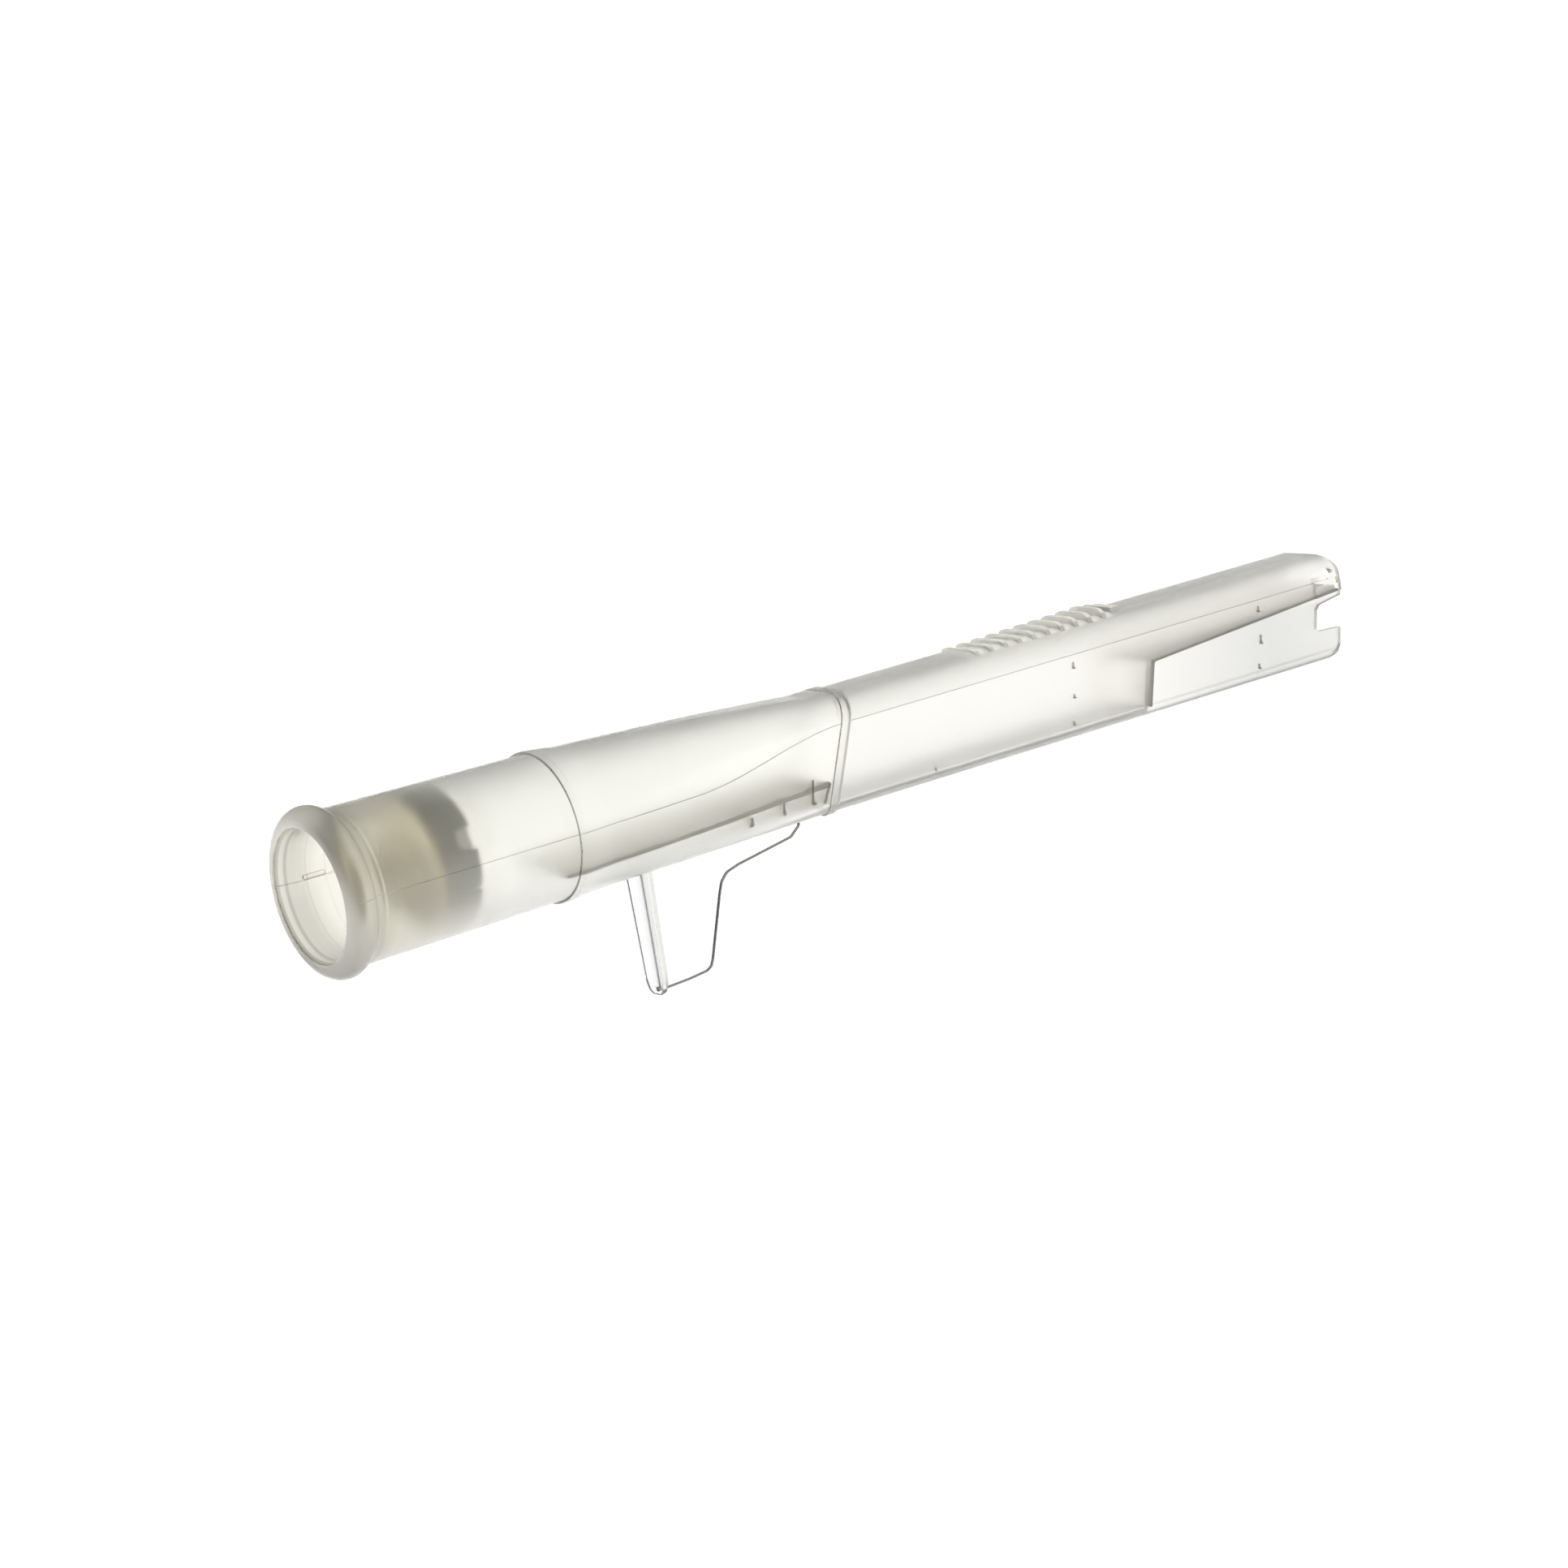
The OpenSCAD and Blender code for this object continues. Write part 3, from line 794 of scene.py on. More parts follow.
def make_socket():
    prof = socket_profile()
    angles = []
    n = 144
    # parting line at the two sides: a hairline groove in the outer skin
    fine = (-0.55, -0.30, 0.0, 0.30, 0.55)
    for i in range(n):
        a = 2*math.pi*i/n
        if i in (0, n//2):
            for d in fine:
                angles.append((a + math.radians(d), -0.07 if d == 0 else 0.0))
        else:
            angles.append((a, 0.0))
    v, f = revolve(prof, angles)
    # locating bar inside the far wall, just above the parting line
    bar = fillet([(5.1, 0.45), (9.4, 0.45), (9.4, 1.25), (5.1, 1.25)], 0.3)
    bv, bf = soft_prism(bar, 10.72, 11.13, 0.12, side_place)
    m = len(prof)
    back = next(i for i in range(m) if prof[i][0] == 46.2)
    w = [k*m + back for k in range(len(angles))]
    v, f = merge([(v, f), (bv, bf)])
    ob = new_piece("hose_socket_barrel", v, f, M_RIM, welds=w)
    # painted shade: the sides of the locating bar are coloured dark
    paint(ob, M_MARK_SHADE, lambda c, nrm: 5.0 < c.x < 9.5 and 0.4 < c.z < 1.3 and 10.7 < c.y < 11.135 and abs(nrm.y) < 0.8)
    # painted shade: the hairline groove's faces are coloured dark
    paint(ob, M_HAIR_SHADE, lambda c, nrm: abs(c.z) < 0.075 and abs(c.y) > 12.3 and 7.0 < c.x < 44.9)
    # painted shade: the front face of the stop ring is coloured dark
    paint(ob, M_EDGE_SHADE, lambda c, nrm: 44.96 < c.x < 45.05 and nrm.x < -0.3 and math.hypot(c.y, c.z) > 12.5)
    return place_piece(ob, ["hose_socket"])


# ------------------------------------------------------------------ collar ----
def outline_at(x, t, n_arc=14):
    """Whole closed outline of the duct with inset t (negative is outside)."""
    w, top, bot = HW - t, ZT - t, ZB + t
    rt, rb = SH_R - t, max(0.4, BOT_R - t)
    pts = []
    for cy, cz, r, a0 in ((w - rt, top - rt, rt, 0), (-w + rt, top - rt, rt, 90), (-w + rb, bot + rb, rb, 180), (w - rb, bot + rb, rb, 270)):
        for i in range(n_arc + 1):
            a = math.radians(a0 + 90*i/n_arc)
            pts.append((cy + r*math.cos(a), cz + r*math.sin(a)))
    return pts


def outside(c):
    """Beyond the duct's own outer skin."""
    rt, rb = SH_R, BOT_R
    y, z = abs(c.y), c.z
    if y > HW - rt and z > ZT - rt:
        return math.hypot(y - HW + rt, z - ZT + rt) > rt
    if y > HW - rb and z < ZB + rb:
        return math.hypot(y - HW + rb, z - ZB - rb) > rb
    return y > HW or z > ZT or z < ZB


def make_collar():
    prof = [(-LAP, WALL - 0.2), (-LAP, 0.3), (-LAP, 0.03), (0.0, -0.22), (0.06, -0.31), (0.22, -0.35), (1.1, -0.35), (1.75, -0.35), (2.05, -0.27), (2.18, -0.13), (2.2 + LAP, -0.02), (2.2 + LAP, 0.3), (2.2 + LAP, WALL)]
    rings = []
    for dx, t in prof:
        rings.append([(COLLAR_X + dx + RAKE*z, y, z) for y, z in outline_at(0, t)])
    v, f = ring_solid(rings, close_ends=True)
    n = len(rings[0])
    w = [k*n + i for k in (0, 1, 9, 10) for i in range(n)]
    ob = new_piece("collar_band", v, f, M_COLLAR, welds=w)
    # painted shade: the collar's front face outside the duct is coloured dark
    paint(ob, M_EDGE_SHADE, lambda c, nrm: c.x - RAKE*c.z < COLLAR_X + 0.03 and nrm.x < -0.4 and max(abs(c.y) - HW, c.z - ZT, ZB - c.z) > -5 and outside(c))
    return place_piece(ob, ["collar"])


# -------------------------------------------------------------------- duct ----
def ramp_at(x):
    return -1.3 + 3.05*(x - BULK_X)/(DUCT_END - BULK_X)


def prism_obj(name, poly, y0, y1, edge=0.0):
    if edge:
        v, f = soft_prism(poly, y0, y1, edge, side_place)
    else:
        v, f = ring_solid([[(p[0], y0, p[1]) for p in poly], [(p[0], y1, p[1]) for p in poly]])
    return new_piece(name, v, f, M_DUCT)


def make_duct_body():
    x_end = DUCT_END
    rings = []
    cx = COLLAR_X + COLLAR_W
    for xs, sh in ((cx, RAKE), (150, 0), (x_end, 0)):
        rings.append(shell_ring(xs, lambda x, t: with_hair(path_down(200, t, SEAM + LAP/2, 10, 10, 1), t, False), WALL, sh))
    n_in = 2*(10 + 10 + 1) + 1
    v, f, w = shell_solid(rings, n_in + 2, n_in, True, False)
    ob = new_piece("duct_lower_shell", v, f, M_DUCT, welds=w)
    # far wall and floor stop at the bulkhead, near wall goes on
    b0 = BULK_X + BULK_RAKE*(ZB - 1)
    cut = prism_obj("c1", [(b0, ZB - 1), (BULK_X + BULK_RAKE*-1.3, -1.3), (DUCT_END + 1, ramp_at(DUCT_END + 1)), (DUCT_END + 1, ZB - 1)], -HW + WALL + 0.9, 20)
    boolean(ob, cut)
    cut = prism_obj("c2", [(216.1 - GAP, ramp_at(216.1)), (230, ramp_at(230)), (230, 20), (216.1 - GAP, 20)], -20, 20)
    boolean(ob, cut)
    notch = fillet([(230, 1.3), (DUCT_END, 0.95), (216.6, 0.05), (215.85, -0.75), (215.1, -4.3), (215.5, -4.85), (230, -5.6)],
                   [0, 0, 0.35, 0.4, 0.25, 0.3, 0], 5)
    boolean(ob, prism_obj("c3", notch, -20, 0))
    rake = fillet([(222.3, 2), (220.5, -8.4), (219.4, -9.9), (217.4, ZB - 0.1), (217.4, -20), (240, -20), (240, 2)],
                  [0, 1.2, 1.0, 0.6, 0, 0, 0], 5)
    boolean(ob, prism_obj("c4", rake, -20, 20))
    tidy(ob)
    soften(ob, 0.14)
    settle(ob, weighted=True)
    paint_hairline_shade(ob)
    return place_piece(ob, ["duct_body"])


def make_top_shell():
    """Cover of the duct and the lugs at its end: one skin, split only along the parting line."""
    rings = []
    cx = COLLAR_X + COLLAR_W
    for xs, sh in ((cx, RAKE), (150, 0), (216.1, 0), (DUCT_END + 0.2, 0)):
        z0 = SEAM - LAP/2
        rings.append(shell_ring(xs, lambda x, t: with_hair(path_up(200, t, z0, 14, 1), t, True), WALL, sh))
    n_in = 2*(14 + 1) + 1
    v, f, w = shell_solid(rings, n_in + 2, n_in, True, False)
    ob = new_piece("duct_top_shell", v, f, M_DUCT, welds=w)
    # the lug hangs below the parting line at the end
    lug = []
    for xs in (216.1, DUCT_END + 0.2):
        half = [p for p in path_down(200, 0, SEAM + 0.6, 8, 1, 1)][:9]
        inn = [p for p in path_down(200, WALL, SEAM + 0.6, 8, 1, 1)][:9]
        lug.append([(xs, p[0], p[1]) for p in half] + [(xs, p[0], p[1]) for p in reversed(inn)])
    for sgn in (1, -1):
        rr = [[(p[0], sgn*p[1], p[2]) for p in r] for r in lug]
        v, f = ring_solid(rr)
        boolean(ob, new_piece("lug", v, f, M_DUCT), "UNION")
    # underside of the ramp line
    boolean(ob, prism_obj("k1", [(200, ramp_at(200)), (230, ramp_at(230)), (230, -30), (200, -30)], -20, 20))
    # rounded upper corner and raked end face, slanting back to the far side
    c = (DUCT_END - 3.5, ZT - 3.8)
    arcp = [(c[0] + 3.8*math.cos(math.radians(a)), c[1] + 3.8*math.sin(math.radians(a))) for a in range(90, -1, -6)]
    boolean(ob, prism_obj("k2", [(c[0], 30)] + arcp + [(240, c[1]), (240, 30)], -20, 20))
    boolean(ob, prism_obj("k3", [(DUCT_END + 0.3, 4.6), (DUCT_END - 0.2, -2), (240, -2), (240, 4.6)], -20, 20))
    v, f = ring_solid([[(p[0], p[1], z) for p in ((DUCT_END + 0.4, -4), (DUCT_END - 3.9, HW + 1), (240, HW + 1), (240, -4))] for z in (-20, 40)])
    boolean(ob, new_piece("k4", v, f, M_DUCT))
    hole = [(220.3 + math.cos(2*math.pi*i/40), 5.2 + math.sin(2*math.pi*i/40)) for i in range(40)]
    boolean(ob, prism_obj("k5", hole, -HW - 1, -5))
    tidy(ob)
    soften(ob, 0.14)
    settle(ob, weighted=True)
    paint_hairline_shade(ob)
    # painted shade: the hole's wall is coloured as a faint grey ring
    paint(ob, M_HOLE_SHADE, lambda c, nrm: math.hypot(c.x - 220.3, c.z - 5.2) < 1.22 and c.y < -4)
    return place_piece(ob, ["duct_cover", "end_lugs"])


def make_ramp():
    x0 = BULK_X + BULK_RAKE*-1.3
    yi = HW - WALL - GAP
    xe = DUCT_END - 0.6
    xb = BULK_X + BULK_RAKE*(ZB + WALL)
    poly = [(x0, -1.3), (xe, ramp_at(xe) + GAP), (xe, ramp_at(xe) + 1.1), (x0 - 0.9, -1.3 + 1.2),
            (x0 - 1.35, -1.3 + 0.2), (xb - 1.3, ZB + WALL + GAP), (xb, ZB + WALL + GAP)]
    poly = fillet(poly, [0.5, 0.3, 0.3, 0.6, 0.8, 0.15, 0.15], 5)
    v, f = soft_prism(poly, -yi, yi, 0.12, side_place)
    # the near edge runs on into the side wall as a thin tongue along the underside and down the bulkhead
    t = 0.30
    line = [(xb, ZB + WALL + GAP), (x0, -1.3), (xe, ramp_at(xe) + GAP), (xe, ramp_at(xe) + 1.4*t), (x0 - 0.15, -1.3 + t), (x0 - 0.7*t, -1.3 + 0.5*t), (xb - t, ZB + WALL + GAP)]
    tv, tf = soft_prism(fillet(line, [0, 0.5, 0.1, 0.1, 0.3, 0.3, 0], 4), -(HW - 0.17), -yi + 0.1, 0.05, side_place)
    v, f = merge([(v, f), (tv, tf)])
    ob = new_piece("rear_ramp_plate", v, f, M_INNER)
    # painted shade: the thin tongue against the near wall is coloured dark
    paint(ob, M_EDGE_SHADE, lambda c, nrm: c.y < -yi - 0.02)
    return place_piece(ob, ["rear_ramp"])


# -------------------------------------------------------------- thumb grip ----
def top_surface(y):
    ay = abs(y)
    flat = HW - SH_R
    if ay <= flat:
        return ZT
    return ZT - SH_R + math.sqrt(max(0.0, SH_R**2 - (ay - flat)**2))


def make_ribs():
    parts = []
    x0, pitch, n = 137.3, 3.3, 10
    half = 5.2
    for i in range(n):
        x = x0 + i*pitch
        h = ZT + mix(0.45, 1.35, i/(n - 1))
        rings = []
        m = 28
        for k in range(m + 1):
            y = -half + 2*half*k/m
            d = half - abs(y)
            # rounded ends
            e = 1.0 - math.sqrt(max(0.0, 1 - (1 - min(1.0, d/3.0))**2))
            zb = top_surface(y) - LAP
            zt = mix(h, zb + 0.12, e)
            zt = max(zt, zb + 0.12)
            hh = zt - zb
            poly = [(x + 0.12*e, zb), (x + 0.02, zb + 0.8*hh), (x + 0.07, zb + 0.95*hh), (x + 0.16, zt),
                    (x + 0.78, zt), (x + 0.90, zb + 0.95*hh), (x + 0.98, zb + 0.8*hh), (x + 1.25, zb + 0.20*hh), (x + 1.5, zb + 0.10*hh), (x + 2.8 - 0.3*e, zb)]
            rings.append([(p[0], y, p[1]) for p in poly])
        parts.append(ring_solid(rings))
    # two stepped pads behind the last rib
    xe = x0 + (n - 1)*pitch
    for (a, b, hw, h) in ((xe + 2.86, xe + 4.3, 4.5, ZT + 0.92), (xe + 4.32, xe + 5.6, 3.6, ZT + 0.78)):
        rings = []
        m = 20
        for k in range(m + 1):
            y = -hw + 2*hw*k/m
            d = hw - abs(y)
            e = 1.0 - math.sqrt(max(0.0, 1 - (1 - min(1.0, d/0.9))**2))
            zb = top_surface(y) - LAP
            zt = max(mix(h, zb + 0.1, e), zb + 0.1)
            hh = zt - zb
            poly = [(a + 0.1*e, zb), (a, zb + 0.7*hh), (a + 0.12, zb + 0.94*hh), (a + 0.3, zt), (b - 0.45, zt), (b - 0.15, zb + 0.88*hh), (b, zb + 0.55*hh), (b - 0.1*e, zb)]
            rings.append([(p[0], y, p[1]) for p in poly])
        parts.append(ring_solid(rings))
    v, f = merge(parts)
    ob = new_piece("thumb_grip_ribs", v, f, M_RIB)
    paint(ob, M_WELD, lambda c, nrm: nrm.z < -0.7)
    # painted shade: the rib sides are coloured dark
    paint(ob, M_RIBSIDE_SHADE, lambda c, nrm: abs(nrm.x) > 0.55 or abs(nrm.y) > 0.75)
    return place_piece(ob, ["thumb_grip"])


# ------------------------------------------------------------ inner baffle ----
def inner_half(x, z):
    w, top, bot, rt, rb = dims(x, TWALL)
    c = bot + rb
    if z >= c:
        return w
    return (w - rb) + math.sqrt(max(0.0, rb*rb - (z - c)**2))


def outer_half(x, z):
    w, top, bot, rt, rb = dims(x, 0.0)
    c = bot + rb
    if z >= c:
        return w
    return (w - rb) + math.sqrt(max(0.0, rb*rb - (z - c)**2))


def wall_stroke(x, z0, z1, hw0, hw1, depth=0.16, deep=0.75, lean=0.0):
    """Upright stroke inside the near wall, following its outer face from z0 up to z1."""
    rings = []
    n = 6
    for k in range(n + 1):
        u = k/n
        z = mix(z0, z1, u)
        hw = mix(hw0, hw1, u)*(0.55 if k in (0, n) else 1.0)
        yo = -(outer_half(x, z) - depth)
        yi = yo + deep
        xc = x + lean*(z - z0)
        rings.append([(xc - hw, yo + 0.06, z), (xc - hw*0.6, yo, z), (xc + hw*0.6, yo, z), (xc + hw, yo + 0.06, z), (xc + hw, yi, z), (xc - hw, yi, z)])
    return ring_solid(rings)


def baffle_z(x):
    return -6.3 + 1.3*(x - 43)/57


def make_baffle():
    parts = []
    rings = []
    n = 40
    for i in range(n + 1):
        x = mix(43.2, 99.9, i/n)
        z = baffle_z(x)
        y = outer_half(x, z - 0.5) - 0.16          # the edge runs into the wall
        yi = y - 1.6
        e = 0.0 if 0 < i < n else 0.12
        z0, z1 = z - 1.0 + e, z - e
        zm = z - 0.55
        k = mix(0.26, 0.44, i/n)
        ring = [(x, -yi, z0), (x, -y + 0.3, zm - k - 0.05), (x, -y, zm - k), (x, -y, zm + k), (x, -y + 0.3, zm + k + 0.05), (x, -yi, z1), (x, 0, z1), (x, yi, z1),
                (x, y - 0.3, zm + k + 0.05), (x, y, zm + k), (x, y, zm - k), (x, y - 0.3, zm - k - 0.05), (x, yi, z0), (x, 0, z0)]
        rings.append(ring)
    parts.append(ring_solid(rings))
    for x in (81.8, 89.1, 96.1):
        y = inner_half(x, -8.6) - 0.55
        zt = baffle_z(x) - 1.0 - GAP
        poly = fillet([(-y, zt), (-y, -8.6), (y, -8.6), (y, zt)], [0.05, 0.5, 0.5, 0.05], 4)
        parts.append(soft_prism(poly, x, x + 0.9, 0.15, front_place))
    zt = baffle_z(99.1) - 1.0 - GAP
    poly = [(99.1, zt), (100.0, zt), (98.9, -8.8), (98.0, -8.8)]
    parts.append(soft_prism(fillet(poly, 0.2, 3), -HW + WALL + 0.45, HW - WALL - 0.45, 0.12, side_place))
    # strokes below the near edge
    parts.append(wall_stroke(81.8, -8.5, -6.9, 0.48, 0.12, depth=0.07))
    parts.append(wall_stroke(89.1, -8.3, -7.5, 0.30, 0.22, depth=0.07))
    parts.append(wall_stroke(89.1, -7.6, -6.2, 0.13, 0.12, depth=0.07, lean=0.15))
    parts.append(wall_stroke(95.6, -8.0, -3.9, 0.16, 0.11, depth=0.10, lean=0.19))
    parts.append(wall_stroke(96.0, -8.3, -7.7, 0.42, 0.30, depth=0.10))
    # the end wall's near edge
    rings = []
    for k in range(7):
        z = mix(-8.6, -5.4, k/6)
        xc = 98.35 + (z + 8.6)*0.52
        yo = -(outer_half(xc, z) - 0.16)
        rings.append([(xc - 0.17, yo, z), (xc + 0.17, yo, z), (xc + 0.25, yo + 0.8, z), (xc - 0.25, yo + 0.8, z)])
    parts.append(ring_solid(rings))
    v, f = merge(parts)
    ob = new_piece("inner_baffle_plate", v, f, M_INNER)
    # painted shade: the near edge, the strokes and the end wall's edge next to the near wall are coloured dark
    paint(ob, M_EDGE_SHADE, lambda c, nrm: abs(c.y) > outer_half(c.x, c.z) - 0.9 and c.y < 0)
    return place_piece(ob, ["inner_baffle"])


# -------------------------------------------------------------- finger fin ----
def outer_blend_obj(grow):
    rings = []
    for i in range(41):
        x = mix(RING_END, 110, i/40)
        half_up = path_up(x, -grow, 0.0, 14, 4)
        half_dn = path_down(x, -grow, 0.0, 14, 12, 5)
        up = mirror_path(half_up)                       # +y side over the top to -y side
        dn = list(reversed(mirror_path(half_dn)))       # -y side under to +y side
        rings.append([(x, p[0], p[1]) for p in up[:-1] + dn[:-1]])
    v, f = ring_solid(rings)
    return new_piece("blend", v, f, M_CLEAR)


def make_fin():
    zb = -34.4
    fl = [(-3.95, -9.0), (-2.95, zb + 2.4), (-2.3, zb + 0.7), (-1.1, zb), (1.1, zb), (2.3, zb + 0.7), (2.95, zb + 2.4), (3.95, -9.0)]
    fl = fillet(fl, [0, 1.5, 1.2, 1.0, 1.0, 1.2, 1.5, 0], 6)
    v, f = soft_prism(fl, 62.4, 63.5, 0.34, front_place, 3)
    ob = new_piece("finger_fin_blade", v, f, M_CLEAR)
    web = [(62.9, -9.0), (62.9, -33.9), (69.6, -33.6), (73.4, -33.2), (74.5, -32.6), (75.1, -31.4), (78.7, -20.6), (79.5, -18.6),
           (80.8, -17.3), (83.4, -16.6), (95.2, -14.7), (97.4, -13.0), (97.4, -9.0)]
    web = fillet(web, [0, 0, 4, 1.2, 1.0, 1.5, 4, 1.8, 2.0, 3.0, 1.5, 0.8, 0], 5)
    v, f = soft_prism(web, -0.5, 0.5, 0.34, side_place, 3)
    boolean(ob, new_piece("web", v, f, M_CLEAR), "UNION")
    # fillets where the web meets the flange
    foot = [(63.2, -1.5), (63.55, -1.3), (63.75, -0.98), (64.1, -0.72), (64.7, -0.56), (65.6, -0.49), (65.6, 0.49), (64.7, 0.56), (64.1, 0.72), (63.75, 0.98), (63.55, 1.3), (63.2, 1.5)]
    v, f = ring_solid([[(x, y, z) for x, y in foot] for z in (-9.0, -33.2)])
    boolean(ob, new_piece("foot", v, f, M_CLEAR), "UNION")
    boolean(ob, outer_blend_obj(GAP))
    tidy(ob)
    settle(ob, weighted=True)
    # painted shade: the narrow rims are coloured dark
    paint(ob, M_FINEDGE_SHADE, lambda c, nrm: c.x > 65.7 and abs(nrm.y) < 0.985 and c.z < -10)
    paint(ob, M_FINEDGE_SHADE, lambda c, nrm: c.x < 63.6 and abs(c.y) > 1.6 and (nrm.y > 0.3 or (nrm.y < -0.3 and nrm.x > 0.3) or nrm.z < -0.5))
    paint(ob, M_SHELL, lambda c, nrm: c.x < 63.6 and nrm.y < -0.3 and nrm.x <= 0.3 and nrm.z >= -0.5)
    return place_piece(ob, ["finger_fin"])


# ----------------------------------------------------------------- stopper ----
def make_stopper():
    x0, x1, r = 18.2, 26.6, 11.05
    prof = [(x0 + 0.25, 4.2), (x0 + 0.55, 4.6), (x0 + 0.55, 7.6), (x0 + 0.25, 8.0), (x0, 8.3), (x0, r - 0.75), (x0 + 0.12, r - 0.45), (x0 + 0.42, r - 0.13),
            (x0 + 0.8, r - 0.02), (x0 + 1.3, r), (x0 + 1.7, r - 0.2), (x0 + 2.1, r - 0.2), (x0 + 2.5, r), (x0 + 3.4, r), (x0 + 3.8, r - 0.12), (x0 + 4.1, r),
            (x1 - 0.9, r), (x1 - 0.3, r - 0.16), (x1, r - 0.55), (x1, r - 1.2), (x1 - 0.3, r - 1.45),
            (x0 + 2.6, r - 1.5), (x0 + 1.9, r - 1.9), (x0 + 1.6, r - 2.6)]
    n = 128

    def centre(x, rs, dx):
        out = []
        for k, rr in enumerate(rs):
            out.append([(x + dx[k], rr*math.cos(2*math.pi*i/n), rr*math.sin(2*math.pi*i/n)) for i in range(n)])
        return out
    rings = centre(0, [q[1] for q in prof], [q[0] for q in prof])
    front = centre(x0, (0.35, 0.9, 1.3, 1.7, 2.2, 3.4), (0.22, 0.24, 0.12, 0.10, 0.16, 0.22))
    back = centre(x0 + 1.6, (4.0, 1.2, 0.4), (0, 0.05, 0.05))
    v, f = ring_solid(front + rings + back)
    ob = new_piece("mouth_stopper", v, f, M_PLUG)
    for i in range(8):
        a = math.radians(-67.5 + 45*i)        # measured from +Z towards +Y
        w = 1.9 if i == 0 else 0.6
        # slot 0 is the wide notch on the near side, above the parting line
        if i == 0:
            a = math.radians(180 + 112.5)
        else:
            a = math.radians(180 + 112.5 + 45*i)
        cr = 0.5 if i else 1.6
        xd = x1 - (4.2 if i else 3.6)
        poly = fillet([(xd, -w), (x1 + 3, -w), (x1 + 3, w), (xd, w)], [cr, 0, 0, cr], 6)
        dy, dz = math.sin(a), math.cos(a)
        rr = []
        for d in (5.0, 14.0):
            rr.append([(p[0], d*dy + p[1]*dz, d*dz - p[1]*dy) for p in poly])
        v, f = ring_solid(rr)
        boolean(ob, new_piece("slit", v, f, M_PLUG))
    tidy(ob)
    settle(ob, weighted=True)
    # thin moulding skin left across the wide notch
    rings = []
    for k in range(13):
        a = math.radians(180 + 112.5) + mix(-0.19, 0.19, k/12)
        ring = []
        for x, rr in ((x1 - 3.9, 10.1), (x1 - 3.9, 10.35), (x1 - 1.2, 10.42), (x1 - 0.7, 10.35), (x1 - 0.7, 10.15), (x1 - 1.2, 10.1)):
            ring.append((x, rr*math.sin(a), rr*math.cos(a)))
        rings.append(ring)
    v, f = ring_solid(rings)
    place_piece(new_piece("stopper_notch_skin", v, f, M_SKIN), [], "stopper")
    return place_piece(ob, ["mouth_plug"], "stopper")


# ------------------------------------------------------------- small marks ----
def make_marks():
    """Short ejector witness strokes moulded in the near walls, coloured dark as painted shade."""
    parts = []
    # on the duct: an upright stroke with a small foot
    for x, z, big in ((156.7, 2.4, 1.0), (156.0, -3.2, 0.6), (155.0, -8.0, 0.7), (201.7, 2.6, 0.9), (201.3, -3.1, 1.4), (200.1, -8.0, 0.8)):
        parts.append(wall_stroke(x, z - 0.62*big, z + 0.62*big, 0.17, 0.10, lean=0.15))
        parts.append(wall_stroke(x + 0.30, z - 0.66*big, z - 0.30*big, 0.13, 0.10))
    # stroke down from the end of the duct's parting line, a tick at the bottom edge
    parts.append(wall_stroke(215.9, 2.6, 4.3, 0.03, 0.03, depth=0.08, deep=0.3, lean=0.18))
    parts.append(wall_stroke(123.0, -9.0, -8.2, 0.06, 0.06))
    v, f = merge(parts)
    return place_piece(new_piece("witness_strokes", v, f, M_MARK_SHADE), [])


make_socket()
make_transition_upper()
make_transition_lower()
make_collar()
make_duct_body()
make_top_shell()
make_ramp()
make_ribs()
make_baffle()
make_fin()
make_stopper()
make_marks()


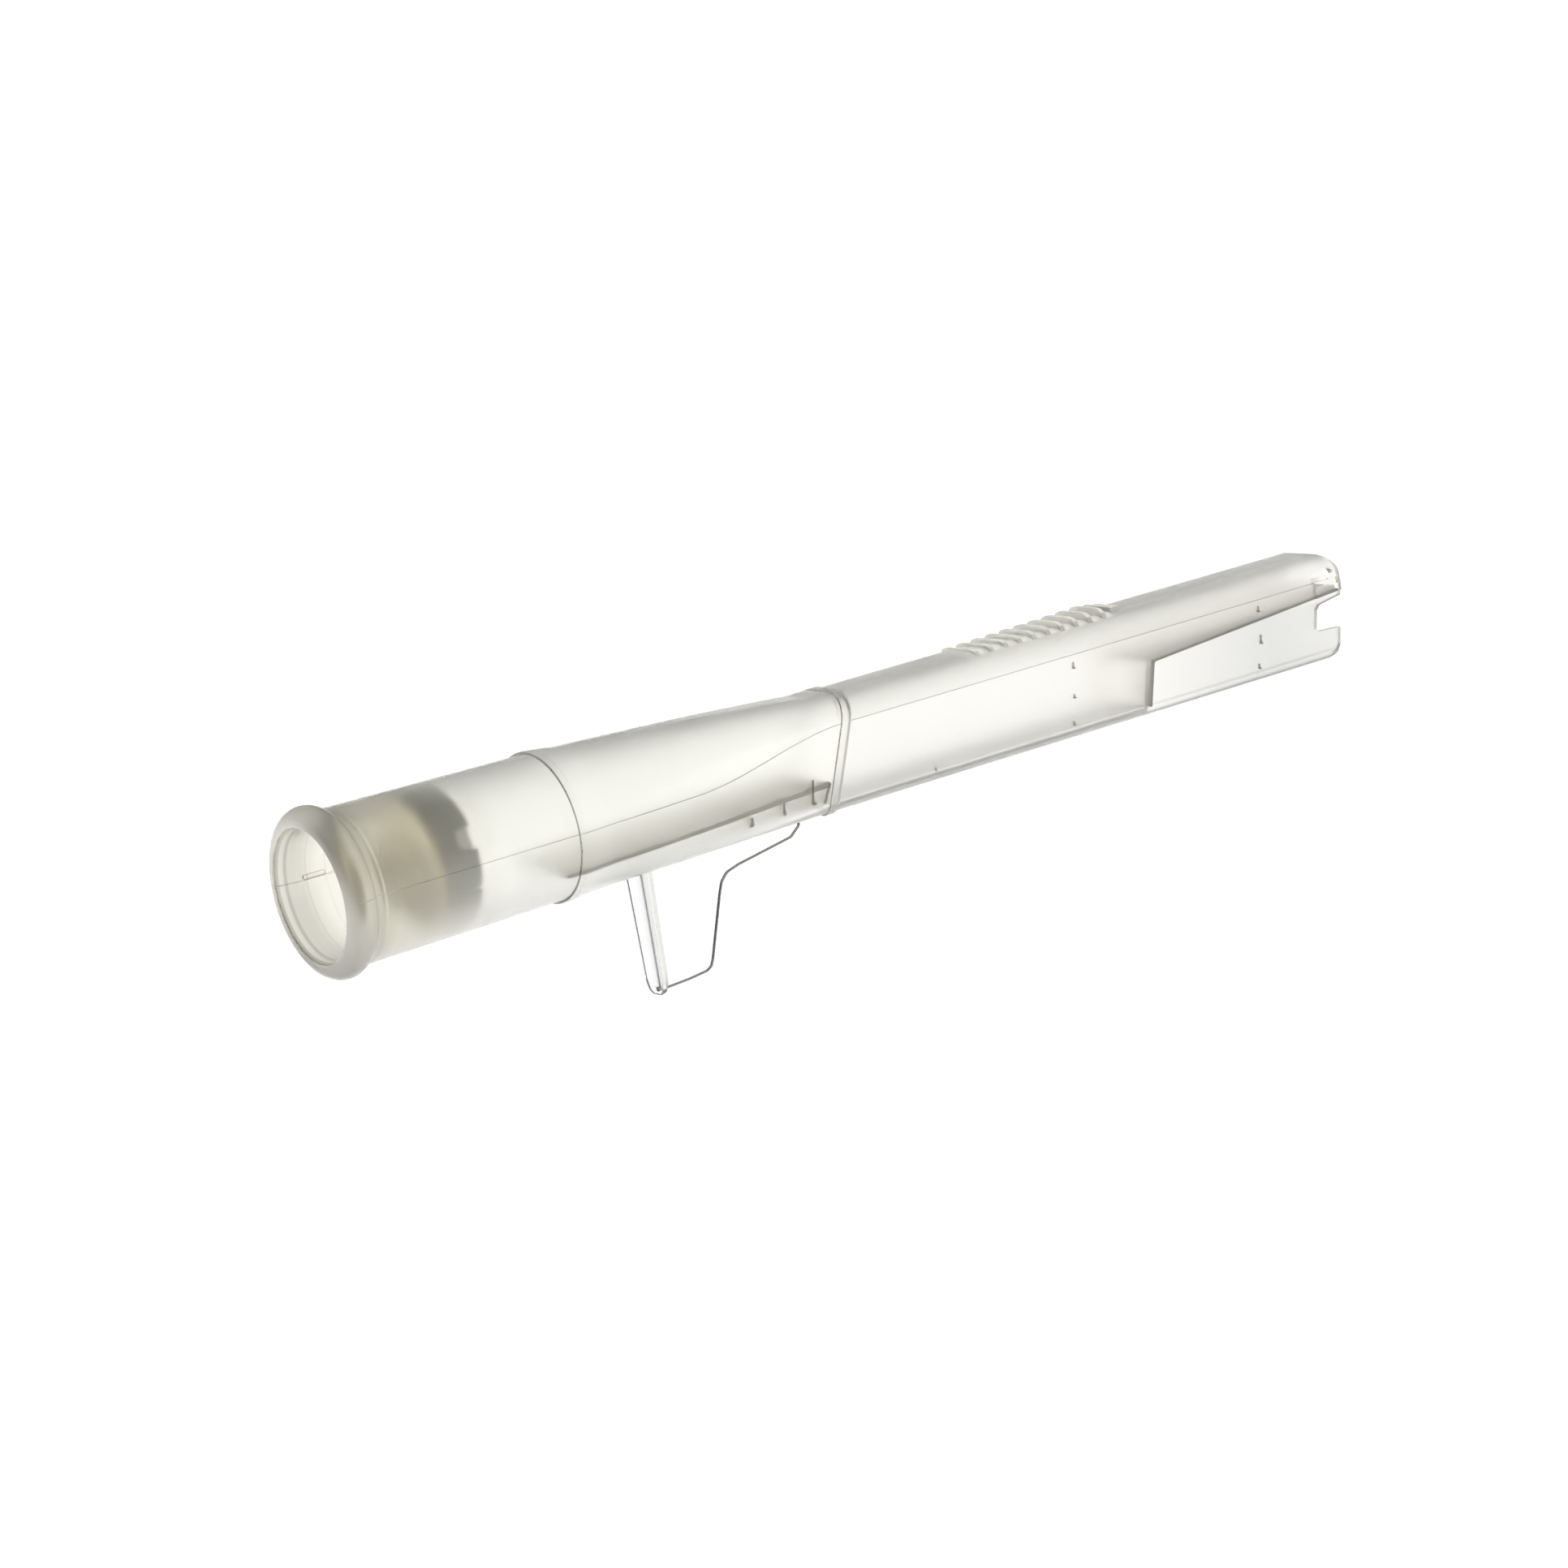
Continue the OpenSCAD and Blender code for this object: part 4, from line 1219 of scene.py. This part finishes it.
# ------------------------------------------------------------------ studio ----
def make_studio():
    # pale floor, a wide disc
    n, r, z = 96, 30.0, -0.0385
    verts = [(0, 0, z)] + [(r*math.cos(2*math.pi*i/n), r*math.sin(2*math.pi*i/n), z) for i in range(n)]
    faces = [(0, 1 + i, 1 + (i + 1) % n) for i in range(n)]
    me = bpy.data.meshes.new("studio_floor")
    me.from_pydata(verts, [], faces)
    ob = bpy.data.objects.new("studio_floor", me)
    scene.collection.objects.link(ob)
    m = bpy.data.materials.new("studio_floor")
    m.use_nodes = True
    nt = m.node_tree
    nt.nodes.clear()
    out = nt.nodes.new("ShaderNodeOutputMaterial")
    em = nt.nodes.new("ShaderNodeEmission")
    em.inputs[0].default_value = (1, 1, 1, 1)
    em.inputs[1].default_value = 1.16
    nt.links.new(em.outputs[0], out.inputs[0])
    me.materials.append(m)

    w = bpy.data.worlds.new("studio")
    scene.world = w
    w.use_nodes = True
    nt = w.node_tree
    nt.nodes.clear()
    out = nt.nodes.new("ShaderNodeOutputWorld")
    bg = nt.nodes.new("ShaderNodeBackground")
    tc = nt.nodes.new("ShaderNodeTexCoord")
    sep = nt.nodes.new("ShaderNodeSeparateXYZ")
    ramp = nt.nodes.new("ShaderNodeValToRGB")
    els = ramp.color_ramp.elements
    els[0].position = 0.02
    els[0].color = (1.16, 1.16, 1.16, 1)
    els[1].position = 0.16
    els[1].color = (0.30, 0.30, 0.29, 1)
    e = els.new(0.6)
    e.color = (0.22, 0.22, 0.21, 1)
    nt.links.new(tc.outputs["Generated"], sep.inputs[0])
    nt.links.new(sep.outputs["Z"], ramp.inputs[0])
    lp = nt.nodes.new("ShaderNodeLightPath")
    mx = nt.nodes.new("ShaderNodeMix")
    mx.data_type = "RGBA"
    nt.links.new(lp.outputs["Is Camera Ray"], mx.inputs[0])
    nt.links.new(ramp.outputs[0], mx.inputs[6])
    mx.inputs[7].default_value = (1, 1, 1, 1)
    nt.links.new(mx.outputs[2], bg.inputs[0])
    bg.inputs[1].default_value = 1.0
    nt.links.new(bg.outputs[0], out.inputs[0])


make_studio()
scene.view_settings.view_transform = "Standard"
scene.view_settings.look = "None"
scene.view_settings.exposure = 0.0
scene.view_settings.gamma = 1.0
scene.cycles.max_bounces = 28
scene.cycles.transmission_bounces = 28
scene.cycles.glossy_bounces = 8
scene.cycles.diffuse_bounces = 4
scene.cycles.transparent_max_bounces = 16
scene.cycles.caustics_reflective = True
scene.cycles.caustics_refractive = True
scene.cycles.blur_glossy = 0.0
